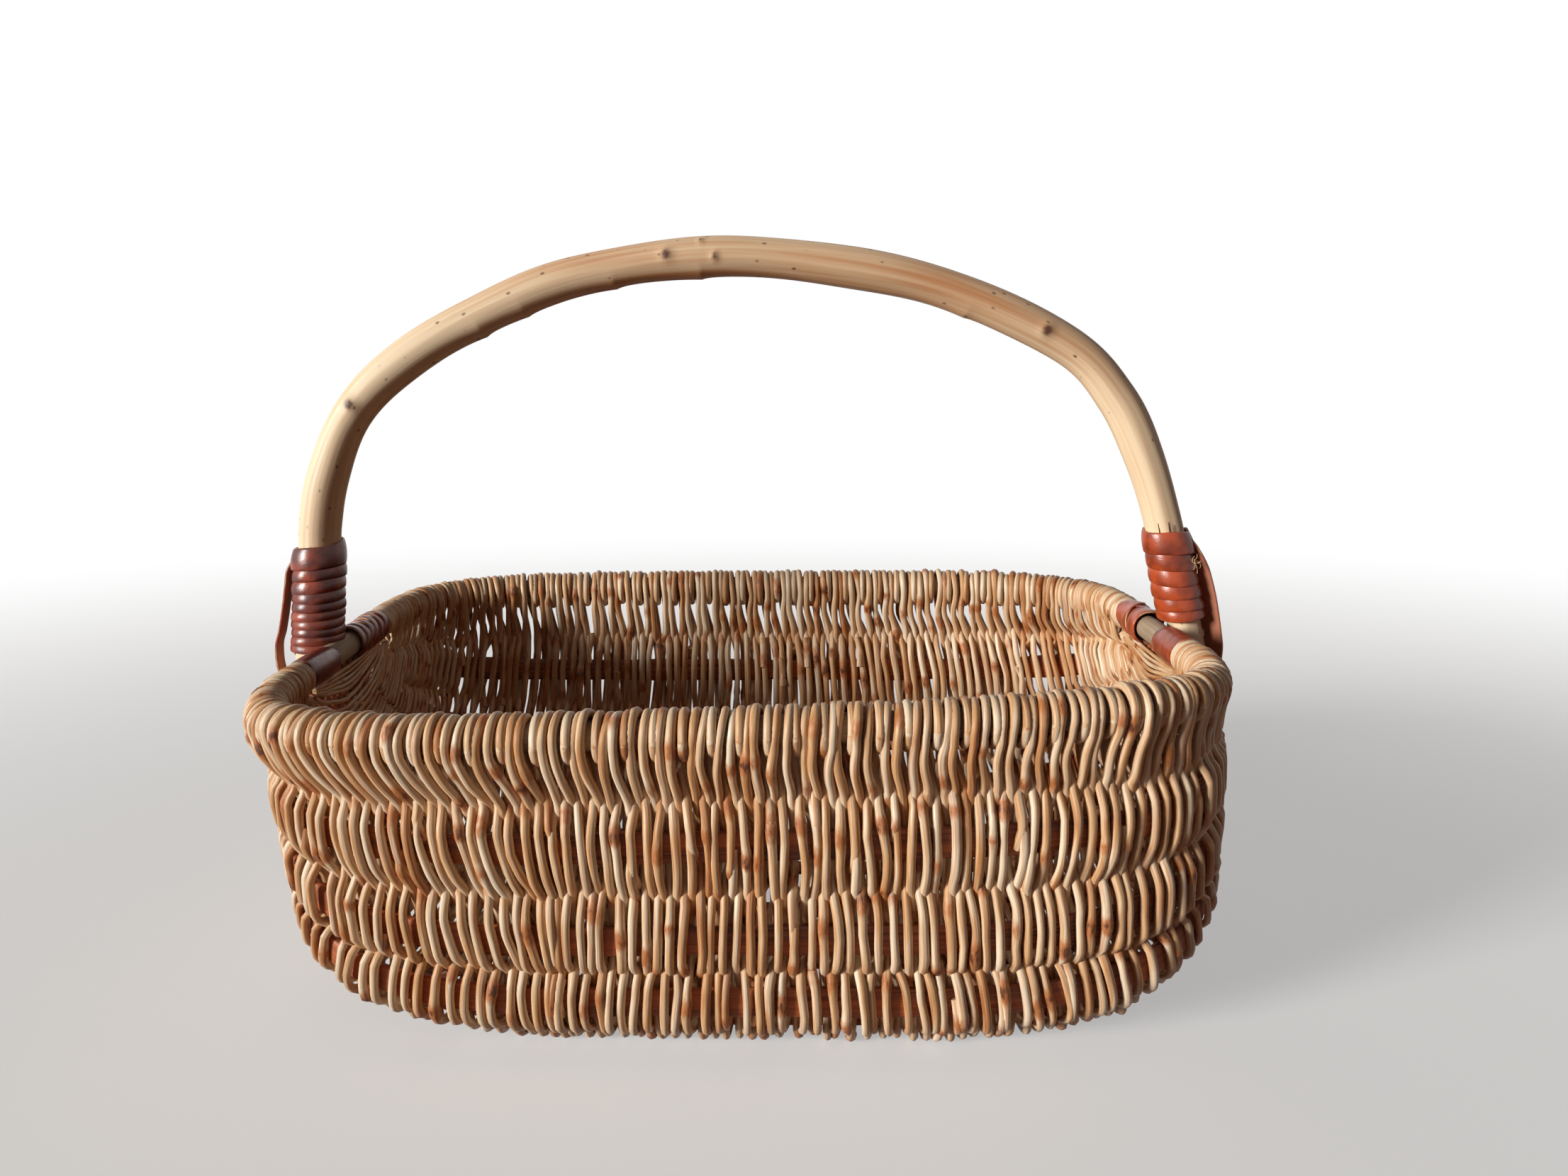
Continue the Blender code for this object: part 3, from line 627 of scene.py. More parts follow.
def steel_material():
    """Drawn steel wire nails, gone dull: grey with rust-brown blooms."""
    material, tree, shader = new_material("dull_steel")
    place = add_node(tree, "ShaderNodeTexCoord").outputs["Object"]
    # Blooms 1.1 mm wide
    inputs = {"Vector": place, "Scale": 900.0, "Detail": 4.0}
    bloom = add_node(tree, "ShaderNodeTexNoise", inputs).outputs["Fac"]
    stops = [(0.35, linear("#6f6a63")), (0.62, linear("#5a3a28"))]
    ramp = add_node(tree, "ShaderNodeValToRGB", (bloom,), stops=stops)
    rough = add_node(tree, "ShaderNodeMapRange", (bloom, 0.35, 0.62, 0.35, 0.8))
    tree.links.new(ramp.outputs["Color"], shader.inputs["Base Color"])
    tree.links.new(rough.outputs[0], shader.inputs["Roughness"])
    shader.inputs["Metallic"].default_value = 0.8
    return material


# The weave

# Crossings of the weave below the rim, and how far it leans between them, at fractions along the
# basket: above the first crossing, and on the rows below it, each by its own factor
CROSSINGS = np.array([FIRST_CROSSING, *(RIB_SHARES[:3] + RIB_SHARES[1:4]) / 2])
LEAN_FRACTIONS = (0.0, 0.12, 0.19, 0.31, 0.34, 0.37, 0.40, 0.50, 0.62, 0.70, 0.78, 0.82, 0.90, 1.0)
RIM_LEANS = np.array([0, 5.5, 10, 8.8, 6.4, 3, 0.4, -2.2, -2.8, -5, -8, -7, -3, 0]) / 1000
ROW_LEANS = np.array([0, 7, 12, 12.5, 10.5, 5, 2.4, -1.8, -3.5, -7.5, -11.5, -11, -5, 0]) / 1000
ROW_FACTORS = (1.0, 0.8, 0.35)

# The back's leans, as a share of the front's
BACK_LEAN = 0.25

# A pass leans more the nearer it comes to the floor, by this power of its way between two crossings
DRIFT_POWER = 1.5

# Towards the ends the rods are finer and closer
END_FINENESS = 0.58
FINE_UNTIL, FULL_FROM = 0.055, 0.20


def fineness(fraction):
    """Thickness and spacing of the rods at a fraction, as a share of those in the middle."""
    part = smooth((np.minimum(fraction, 1 - fraction) - FINE_UNTIL) / (FULL_FROM - FINE_UNTIL))
    return END_FINENESS + (1 - END_FINENESS) * part


def lean_at(leans, fraction):
    """How far the weave leans going down at a fraction: towards +X at the left, -X at the right."""
    return float(np.interp(fraction, LEAN_FRACTIONS, leans))


def drift(body, fraction, shares):
    """How far a pass strays along the basket on its way, as a fraction of the length."""
    steps = lean_at(ROW_LEANS, fraction) * np.cumsum(ROW_FACTORS)
    stations = np.concatenate([CROSSINGS, 1 - CROSSINGS[::-1]])
    values = np.concatenate([[0.0], steps, BACK_LEAN * steps[::-1], [0.0]])

    def ease(part):
        return np.where(shares < 0.5, part**DRIFT_POWER, 1 - (1 - part) ** DRIFT_POWER)

    return between(shares, stations, values, ease) / body.rim_length


def lath_half_width(down):
    return (RIB_TIP_WIDTH + (RIB_WIDTH - RIB_TIP_WIDTH) * np.minimum(1.0, down / RIB_TAPER)) / 2


# A pass goes over and under every lath where they are this far apart, every second one down to the
# other distance, and past them all where they are closer still
EVERY_LATH_GAP, EVERY_SECOND_GAP = 0.019, 0.011

# Distance between a pass's points, and how many places it is looked up at to find them
PASS_STEP, PASS_TABLE = 0.0031, 500

# How far beside a lath a pass keeps its full distance, and at most what share of the room between
# two laths that takes
LATH_MARGIN, LATH_ROOM = 0.0014, 0.45


def pass_line(body, number, fraction, settings, rng):
    """One pass of the weave between its first crossings, from front to back: points and offsets."""
    radius = settings.thickness / 2 * float(fineness(fraction))
    lift = RIB_THICKNESS / 2 + radius + CLEARANCE
    shares = np.linspace(FIRST_CROSSING, 1 - FIRST_CROSSING, PASS_TABLE)
    fractions = fraction + drift(body, fraction, shares)
    coarse = body.at(body.points, shares, fractions)
    way = distances(coarse)
    ribs = np.interp(RIB_SHARES, shares, way)
    down = body.at(body.down, RIB_SHARES, np.full(len(RIB_SHARES), fraction))
    gap = np.diff(ribs).mean()
    side = 1.0 if number % 2 == 0 else -1.0
    ranks = np.arange(1, len(RIB_SHARES) + 1)
    if gap > EVERY_LATH_GAP:
        signs = side * (-1.0) ** ranks
    elif gap > EVERY_SECOND_GAP:
        signs = side * (-1.0) ** (ranks // 2)
    else:
        signs = np.full(len(ranks), side)
    half = lath_half_width(down) + LATH_MARGIN
    room = np.minimum(np.diff(ribs, prepend=-ribs[1]), np.diff(ribs, append=2 * way[-1]))
    half = np.minimum(half, room * LATH_ROOM)
    first = lift * side if signs[0] == side else 0.0
    last = lift * side if signs[-1] == side else 0.0
    slips = rng.normal(0.0, settings.wander * float(fineness(fraction)) ** 2, len(ribs))
    stations, offsets, slides = [0.0], [first], [0.0]
    for place, width, sign, slip in zip(ribs, half, signs, slips):
        stations += [place - width, place + width]
        offsets += [lift * sign] * 2
        slides += [slip * 0.8, slip]
    stations.append(way[-1])
    offsets.append(last)
    slides.append(0.0)
    stations = np.maximum.accumulate(np.array(stations))
    count = max(24, round(way[-1] / PASS_STEP))
    ways = np.linspace(0.0, way[-1], count)
    offset = between(ways, stations, np.array(offsets))
    slide = between(ways, stations, np.array(slides))
    shares = np.interp(ways, way, shares)
    fractions = fraction + drift(body, fraction, shares) + slide / body.rim_length
    outward = unit(body.at(body.outward, shares, fractions))
    points = body.at(body.points, shares, fractions) + outward * offset[:, None]
    return points, offset, first, last


def near_rim(body, side, ways, offsets, fractions, onto_rim):
    """Points a way below the rim rod and an offset outside it, in front (-1) or behind (1)."""
    ways, offsets = np.asarray(ways, dtype=float), np.asarray(offsets, dtype=float)
    fractions = np.broadcast_to(fractions, ways.shape)
    shares = ways / GIRTH if side < 0 else 1 - ways / GIRTH
    outward = unit(body.at(body.outward, shares, fractions))
    wall = body.at(body.points, shares, fractions) + outward * offsets[:, None]
    if not onto_rim:
        return wall
    rod, outward = body.rim_at(side, fractions)
    hung = rod + outward * offsets[:, None] - UP * ways[:, None]
    share = smooth((FIRST_CROSSING * GIRTH - ways) / (FIRST_CROSSING * GIRTH - 0.010))[:, None]
    return wall * (1 - share) + hung * share


# How far past level a turn leaves the rim rod, how far its two legs stand apart along the rim, and
# how the legs come to their place there: within this share of their way, by this power
TANGENT = math.radians(15)
LEG_SKEW = 0.0012
LEG_EASE, LEG_EASE_POWER = 0.85, 1.2


def turn_line(body, side, outer, inner, slot, offsets, radius, wound):
    """Over the rim, or short of it, from an outer pass's first crossing to the inner pass's."""
    top = FIRST_CROSSING * GIRTH
    ring = ROD_RADIUS + radius + CLEARANCE
    if wound:
        level, aside = ring * math.sin(TANGENT), ring * math.cos(TANGENT)
        ways = np.linspace(top - 0.003, level + 0.002, 10)
        part = (top - ways) / (top - level)
        out = offsets[0] + (aside - offsets[0]) * part + 0.0010 * np.sin(math.pi * part)
        back = offsets[1] - (aside + offsets[1]) * part
        ease = 1 - np.clip(1 - part / LEG_EASE, 0.0, 1.0) ** LEG_EASE_POWER
        skew = LEG_SKEW / body.rim_length
        leg_out = near_rim(body, side, ways, out, outer + (slot - skew - outer) * ease, True)
        leg_in = near_rim(body, side, ways, back, inner + (slot + skew - inner) * ease, True)
        angles = np.linspace(-TANGENT, math.pi + TANGENT, 12)
        slots = slot + skew * np.linspace(-1, 1, 12)
        around = near_rim(body, side, -ring * np.sin(angles), ring * np.cos(angles), slots, True)
        return np.concatenate([leg_out, around, leg_in[::-1]])
    ways = np.linspace(top - 0.003, 0.014, 6)
    leg_out, leg_in = (
        near_rim(body, side, ways, np.linspace(start, end, 6), fraction, False)
        for start, end, fraction in ((offsets[0], 0.004, outer), (offsets[1], -0.004, inner))
    )
    across = np.linspace(outer, inner, 5)[1:-1]
    bend = near_rim(body, side, [0.0115, 0.0105, 0.0115], [0.003, 0.0, -0.003], across, False)
    return np.concatenate([leg_out, bend, leg_in[::-1]])


def loop_line(body, side, slot, radius, stretch):
    """A closed loop of rod round the rim rod; a stretched one hangs a little lower than it."""
    ring = ROD_RADIUS + radius + CLEARANCE
    angles = np.linspace(0.0, 2 * math.pi, 26)[:-1]
    ways = -ring * np.sin(angles)
    ways = np.where(ways > 0, ways * stretch, ways)
    return near_rim(body, side, ways, ring * np.cos(angles), slot, True)


def wound_at(body, side, slot):
    """Whether the rim is wound there, and not under the leather or the handle."""
    return abs(body.rim_at(side, slot)[0][0, 1]) > WINDING_START


def weave_line(body, settings, rng):
    """The weave as one line: its points, where it may be cut, its fineness, and extra loops."""
    middle = body.lengths[SHARE_STATIONS // 5]
    steps = [settings.spacing / middle * 0.5 * END_FINENESS]
    while steps[-1] < 1 - settings.spacing / middle * END_FINENESS:
        steps.append(steps[-1] + settings.spacing / middle * float(fineness(steps[-1])))
    count = len(steps) - len(steps) % 2
    fractions = np.array(steps[:count]) + (1 - steps[count - 1] - steps[0]) / 2
    runs = [pass_line(body, n, f, settings, rng) for n, f in enumerate(fractions)]
    line, cuttable, scale, loops = [], [], [], []
    for number, (points, offset, first, last) in enumerate(runs):
        fine = float(fineness(fractions[number]))
        if number:
            side = -1 if number % 2 else 1
            outer, inner = (number - 1, number) if side < 0 else (number, number - 1)
            pair = abs(fractions[outer] - fractions[inner]) * 2
            place = (fractions[outer] + fractions[inner]) / 2
            rank = number // 2
            leans = RIM_LEANS * (1.0 if side < 0 else BACK_LEAN)
            # Turns go over the rim in pairs, and an extra loop lies between one pair and the next
            slot = place + (-pair if rank % 2 else pair) / 6
            slot -= lean_at(leans, place) / body.rim_length
            slot += rng.normal(0.0, 0.0003) / body.rim_length
            ends = [runs[n][2 if side < 0 else 3] for n in (outer, inner)]
            radius = settings.thickness / 2 * 1.05 * fine
            wound = wound_at(body, side, slot)
            places = fractions[outer], fractions[inner]
            turn = turn_line(body, side, *places, slot, ends, radius, wound)
            line.append(turn if side < 0 else turn[::-1])
            cuttable.append(np.zeros(len(turn), dtype=bool))
            scale.append(np.full(len(turn), fine))
            if rank % 2:
                place += pair / 2
                loops.append((side, place - lean_at(leans, place) / body.rim_length, fine))
        forward = number % 2 == 1
        line.append(points if forward else points[::-1])
        free = np.abs(offset) > 0.8 * abs(offset).max()
        cuttable.append(free if forward else free[::-1])
        scale.append(np.full(len(points), fine**0.7))
    return np.concatenate(line), np.concatenate(cuttable), np.concatenate(scale), loops


# Buds: how far apart they are along a rod, and how long their scars are
BUD_SPACING, BUD_SIZE = (0.030, 0.130), (0.0030, 0.0062)

# How much thicker a rod is at a bud, as a share of its radius
BUD_SWELL = 0.38

# A rod may bend once in this length
BEND_SPACING = 0.019


def knots_along(way, rng):
    """How strong a bud's scar is at each point of a rod."""
    marks = np.zeros(len(way))
    place = rng.uniform(0.01, 0.10)
    while place < way[-1]:
        strength = rng.uniform(0.5, 1.0)
        size = rng.uniform(*BUD_SIZE)
        marks = np.maximum(marks, strength * np.exp(-(((way - place) / size) ** 2)))
        place += rng.uniform(*BUD_SPACING)
    return marks


def crooked(line, way, amount, rng):
    """A line that bends a little at random, as rods do between their buds."""
    knots = np.arange(0.0, way[-1] + 0.04, BEND_SPACING)
    bends = rng.normal(0.0, amount, (len(knots), 3))
    ease = np.clip(np.minimum(way, way[-1] - way) / 0.02, 0.0, 1.0)
    return line + points_at(way, knots, bends) * ease[:, None]


def add_rod(bundle, line, thick, thin, tone, rng, closed=False, crook=0.0):
    """One willow rod along a line, with knots and a slight taper."""
    line = settled(line)
    way = distances(line)
    if crook:
        line = crooked(line, way, crook, rng)
    marks = knots_along(way, rng)
    first = np.cross(line[1] - line[0], UP + 0.1)
    out = transported(line, first, closed)
    if crook:
        aside = np.cumsum(np.gradient(marks) * np.sin(way * 67 + rng.uniform(0, 6)))
        line = line + out * (1.4 * crook * aside)[:, None]
    wave = rng.uniform(0, 2 * math.pi, 3)
    radius = (thick + (thin - thick) * way / way[-1]) * (1 + BUD_SWELL * marks)
    radius = radius * (1 + 0.045 * np.sin(way * 140 + wave[0]) + 0.035 * np.sin(way * 53 + wave[1]))
    line[:, 2] = np.maximum(line[:, 2], radius)
    tones = tone + 0.07 * np.sin(way * 21 + wave[2])
    bundle.sweep(
        line, out, round_profile(ROD_SIDES), radius[:, None], tone=tones, mark=marks, closed=closed,
        origin=rng.uniform(0, 3, 3),
    )


# Tones of most rods and of the tanned ones, and the share of those
PALE_TONES, TANNED_TONES, TANNED = (0.14, 0.42), (0.50, 0.68), 0.12

# Rods' lengths as a share of the usual one, how long the last may be, and how far from its length a
# rod's end may lie on a lath
LENGTHS, LAST_LENGTH, CUT_REACH = (0.75, 1.25), 1.6, 0.12

# A rod's thickness as a share of the usual one, and that of its two ends as a share of its own
THICKNESSES, TAPER = (0.93, 1.07), (1.06, 0.94)

# A rod's two ends are tucked in this deep, over this many points, towards this place
START_TUCK, END_TUCK, TUCK_POINTS = 0.0022, 0.0030, 4
TUCK_TARGET = np.array([0.0, 0.0, 0.1])


def rod_tone(rng):
    return rng.uniform(*TANNED_TONES) if rng.random() < TANNED else rng.uniform(*PALE_TONES)


def rod_ends(way, cuttable, settings, rng):
    """Where one rod of the weave ends and the next begins: flat on a lath, where one is near."""
    cuts = [0]
    while way[-1] - way[cuts[-1]] > LAST_LENGTH * settings.rod_length:
        goal = way[cuts[-1]] + settings.rod_length * rng.uniform(*LENGTHS)
        near = np.flatnonzero(cuttable & (np.abs(way - goal) < CUT_REACH))
        if len(near):
            cuts.append(int(near[np.argmin(np.abs(way[near] - goal))]))
        else:
            cuts.append(int(np.searchsorted(way, goal)))
    return [*cuts, len(way) - 1]


def add_weave(settings, pieces=8):
    rng = np.random.default_rng(settings.seed)
    body = Body()
    material = willow_material(settings)
    line, cuttable, scale, loops = weave_line(body, settings, rng)
    scale = np.convolve(np.pad(scale, 4, mode="edge"), np.full(9, 1 / 9), mode="valid")
    cuts = rod_ends(distances(line), cuttable, settings, rng)
    bundles = [Bundle() for _ in range(pieces)]
    radius = settings.thickness / 2
    for number, (start, end) in enumerate(zip(cuts, cuts[1:])):
        begin = max(0, start - TUCK_POINTS)
        rod = line[begin : end + TUCK_POINTS - 1].copy()
        tail = min(TUCK_POINTS, len(rod) - 1)
        for ends, tucks in (
            (slice(-tail, None), np.linspace(0.0, END_TUCK, tail)),
            (slice(TUCK_POINTS), np.linspace(START_TUCK, 0.0, TUCK_POINTS)),
        ):
            rod[ends] += unit(TUCK_TARGET - rod[ends]) * tucks[:, None]
        size = radius * rng.uniform(*THICKNESSES) * scale[begin : begin + len(rod)]
        thick, thin = TAPER if number % 2 else TAPER[::-1]
        bundle = bundles[min(pieces - 1, int(pieces * start / len(line)))]
        crook = settings.crook * np.clip(scale[start] - 0.45, 0.08, 0.55) / 0.55
        add_rod(bundle, rod, thick * size, thin * size, rod_tone(rng), rng, crook=crook)
    size = radius * END_FINENESS
    for end, bundle in ((0.0, bundles[0]), (1.0, bundles[-1])):
        for line in end_fillers(body, end, size):
            add_rod(bundle, line, size, size, rod_tone(rng), rng)
    items = [
        bundle.build(f"weave_{number:02d}", material, "willow", "weave_outer", "weave_inner")
        for number, bundle in enumerate(bundles, start=1)
    ]
    for side, name in ((-1, "front"), (1, "back")):
        bundle = Bundle()
        for where, slot, fine in loops:
            if where == side and wound_at(body, side, slot):
                size = radius * 1.03 * fine
                line = loop_line(body, side, slot, size, rng.uniform(1.0, 1.25))
                add_rod(bundle, line, size, size, rod_tone(rng), rng, closed=True)
        for slot in collar_slots(body):
            line = loop_line(body, side, slot, COLLAR_RADIUS, 1.0)
            tone = rng.uniform(0.05, 0.25)
            add_rod(bundle, line, COLLAR_RADIUS, COLLAR_RADIUS, tone, rng, closed=True)
        items.append(bundle.build(f"rim_loops_{name}", material, "willow", f"rim_wrap_{name}"))
    return items


def collar_slots(body):
    """Fractions of the fine turns beside the leather, at both ends."""
    half = FRACTION_STATIONS // 2
    places = np.arange(COLLAR_START + COLLAR_RADIUS, WINDING_START + COLLAR_PITCH, COLLAR_PITCH)
    fractions = np.linspace(0.0, 1.0, FRACTION_STATIONS)[:half]
    near = np.interp(places, np.abs(body.rim[:half, 1]), fractions)
    return np.concatenate([near, 1 - near])


# Rows of rods under each end of the rim, how far they lie from the laths' middle, and their points
FILLER_ROWS, FILLER_OFFSET, FILLER_STATIONS = 5, 0.0036, 40


def end_fillers(body, end, radius):
    """Rods under the rim's end, inside and outside, where the laths are too close to weave."""
    shares = np.linspace(0.02, 0.98, FILLER_STATIONS)
    low = body.at(body.points, shares, np.full(FILLER_STATIONS, end))
    top = RIM_HEIGHT - ROD_RADIUS - radius - 0.0003
    outside = math.copysign(FILLER_OFFSET, end - 0.5)
    lines = []
    for row in range(FILLER_ROWS):
        for offset in (-outside, outside):
            line = low.copy()
            line[:, 2] += (top - low[:, 2]) * (row + 0.5) / FILLER_ROWS
            line[:, 0] += offset
            lines.append(line)
    return lines


# The frame, handle and leather

LATH_STATIONS = 150


def add_laths(settings):
    """The eleven split laths."""
    rng = np.random.default_rng(3)
    body = Body()
    # Split fibres 1.1 x 71 mm, which are coarser than the real ones, growth in 7 x 111 mm patches
    material = wood_material(
        "split_lath", (settings.pale, settings.dark, settings.dark),
        (900.0, 900.0, 14.0), (140.0, 140.0, 9.0), 0.0009, (0.5, 0.75),
    )
    items = []
    for number, share in enumerate(RIB_SHARES, start=1):
        fractions = np.linspace(0.0, 1.0, LATH_STATIONS)
        shares = np.full(LATH_STATIONS, share)
        line = body.at(body.points, shares, fractions)
        out = unit(body.at(body.outward, shares, fractions))
        half = lath_half_width(body.at(body.down, shares, fractions))
        rise = RIM_HEIGHT - ROD_RADIUS - 0.0006 - line[0, 2]
        extra = np.array([1.0, 0.5])[:, None] * rise * UP
        line = np.concatenate([line[0] + extra, line, line[-1] + extra[::-1]])
        out = np.pad(out, ((2, 2), (0, 0)), mode="edge")
        half = np.pad(half, 2, mode="edge")
        wave = rng.uniform(0, 6.28, 2)
        way = np.linspace(0, 1, len(line))
        half = half * (1 + 0.04 * np.sin(way * 31 + wave[0]) + 0.03 * np.sin(way * 74 + wave[1]))
        scale = np.stack(np.broadcast_arrays(half, RIB_THICKNESS / 2 - 0.0001), axis=1)
        bundle = Bundle()
        tone, origin = rng.uniform(0.3, 0.6), rng.uniform(0, 3, 3)
        bundle.sweep(settled(line), out, LATH_PROFILE, scale, tone=tone, origin=origin)
        name, node = f"lath_{number:02d}", f"rib_{number:02d}"
        items.append(bundle.build(name, material, "split_lath", node))
    return items


def add_hoop(settings):
    """The rim's bent rod, bare between the leather lashings."""
    body = Body()
    # Fibres 1.4 x 33 mm, which are coarser than the real ones, weathered in 8 x 33 mm patches
    material = wood_material(
        "bare_rod", (settings.rod, linear("#8a735a"), linear("#5d4632")),
        (700.0, 700.0, 30.0), (120.0, 120.0, 30.0), 0.0008, (0.55, 0.8),
    )
    fractions = np.linspace(0.0, 1.0, 120)
    front, _ = body.rim_at(-1, fractions)
    back, _ = body.rim_at(1, fractions[::-1])
    along = np.linspace(-RIB_END_SPREAD, RIB_END_SPREAD, 14)[1:-1]
    right, left = (
        np.array([(side * RIM_HALF_LENGTH, side * y, RIM_HEIGHT) for y in along])
        for side in (1, -1)
    )
    line = settled(np.concatenate([front, right, back, left]))
    way = np.arange(len(line))
    radius = ROD_RADIUS * (0.985 + 0.012 * np.sin(way * 0.9) * np.sin(way * 0.37))
    bundle = Bundle()
    out = transported(line, UP, closed=True)
    bundle.sweep(line, out, round_profile(HOOP_SIDES), radius[:, None], tone=0.4, closed=True)
    return bundle.build("hoop", material, "bent_rod", "rim_hoop")


# Legs: how far outside the rim's end each stands, how it leans in, and its radius
LEG_SHAPES = {
    -1: (LEG_OFFSET, LEG_SLOPES[-1], LEG_RADIUS),
    1: (0.0160, LEG_SLOPES[1] + 0.10, 0.0095),
}


def rim_end_height(side):
    return RIM_HEIGHT + side * RIGHT_END_RISE


def leg_axis(side, height):
    """The leg's middle line at a height above the table."""
    offset, slope, _ = LEG_SHAPES[side]
    out = RIM_HALF_LENGTH + offset - slope * (height - RIM_HEIGHT)
    return np.array([side * out, 0.0, height])


def leg_direction(side):
    return unit(leg_axis(side, RIM_HEIGHT + LEG_STRAIGHT) - leg_axis(side, RIM_HEIGHT))


def smooth_curve(points, steps):
    """Points of a Catmull-Rom curve through all but the first and last of the points given."""
    t = np.linspace(0, 1, steps, endpoint=False)[:, None]
    result = []
    for before, start, end, after in zip(points, points[1:], points[2:], points[3:]):
        square = 2 * before - 5 * start + 4 * end - after
        cube = 3 * start - before - 3 * end + after
        result.append(0.5 * (2 * start + (end - before) * t + square * t**2 + cube * t**3))
    return np.concatenate([*result, [points[-2]]])


def handle_line():
    base = RIM_HEIGHT + LEG_STRAIGHT
    left_top, right_top = leg_axis(-1, base), leg_axis(1, base)
    half = (right_top[0] - left_top[0]) / 2
    arch = [np.array([u * half, 0.0, base + v * (HANDLE_TOP - base)]) for u, v in ARCH]
    knots = [leg_axis(-1, RIM_HEIGHT), left_top, *arch, right_top, leg_axis(1, RIM_HEIGHT)]
    feet = []
    for side in (-1, 1):
        foot = leg_axis(side, rim_end_height(side) - FOOT_DROP)
        feet.append(np.linspace(foot, leg_axis(side, base), 40, endpoint=False))
    return np.concatenate([feet[0], smooth_curve(knots, 64), feet[1][::-1]])


# Knots on the handle: x and z of each, the side of the rod it is on (radians from the front over
# the top) and size
HANDLE_KNOTS = (
    (-0.202, 0.287, 0.10, 0.0024),
    (-0.037, 0.359, 0.15, 0.0022),
    (-0.019, 0.364, 0.75, 0.0010),
    (-0.013, 0.357, -0.1, 0.0013),
    (0.149, 0.311, 0.0, 0.0024),
)

# How dark the peeled wood is, from the left foot to the right one
HANDLE_TONES = ((-0.235, -0.15, -0.05, 0.10, 0.19, 0.235), (0.08, 0.30, 0.66, 0.60, 0.42, 0.20))

# Places along x where the knife left a step on the handle's underside, and how deep it is
HANDLE_STEPS = (
    (-0.137, 0.0013), (-0.114, 0.0010), (-0.066, 0.0011), (-0.020, 0.0010), (0.118, 0.0008),
)

# How far the knife's mark fades before a step and after it
STEP_BEFORE, STEP_AFTER = 0.016, 0.0035

# Drying cracks above the right lashing: side of the leg (radians from the front towards the
# outside) and length
CRACKS = ((-0.55, 0.0055), (-0.02, 0.0065), (0.20, 0.0050), (0.75, 0.0040))
CRACK_STATIONS = 9


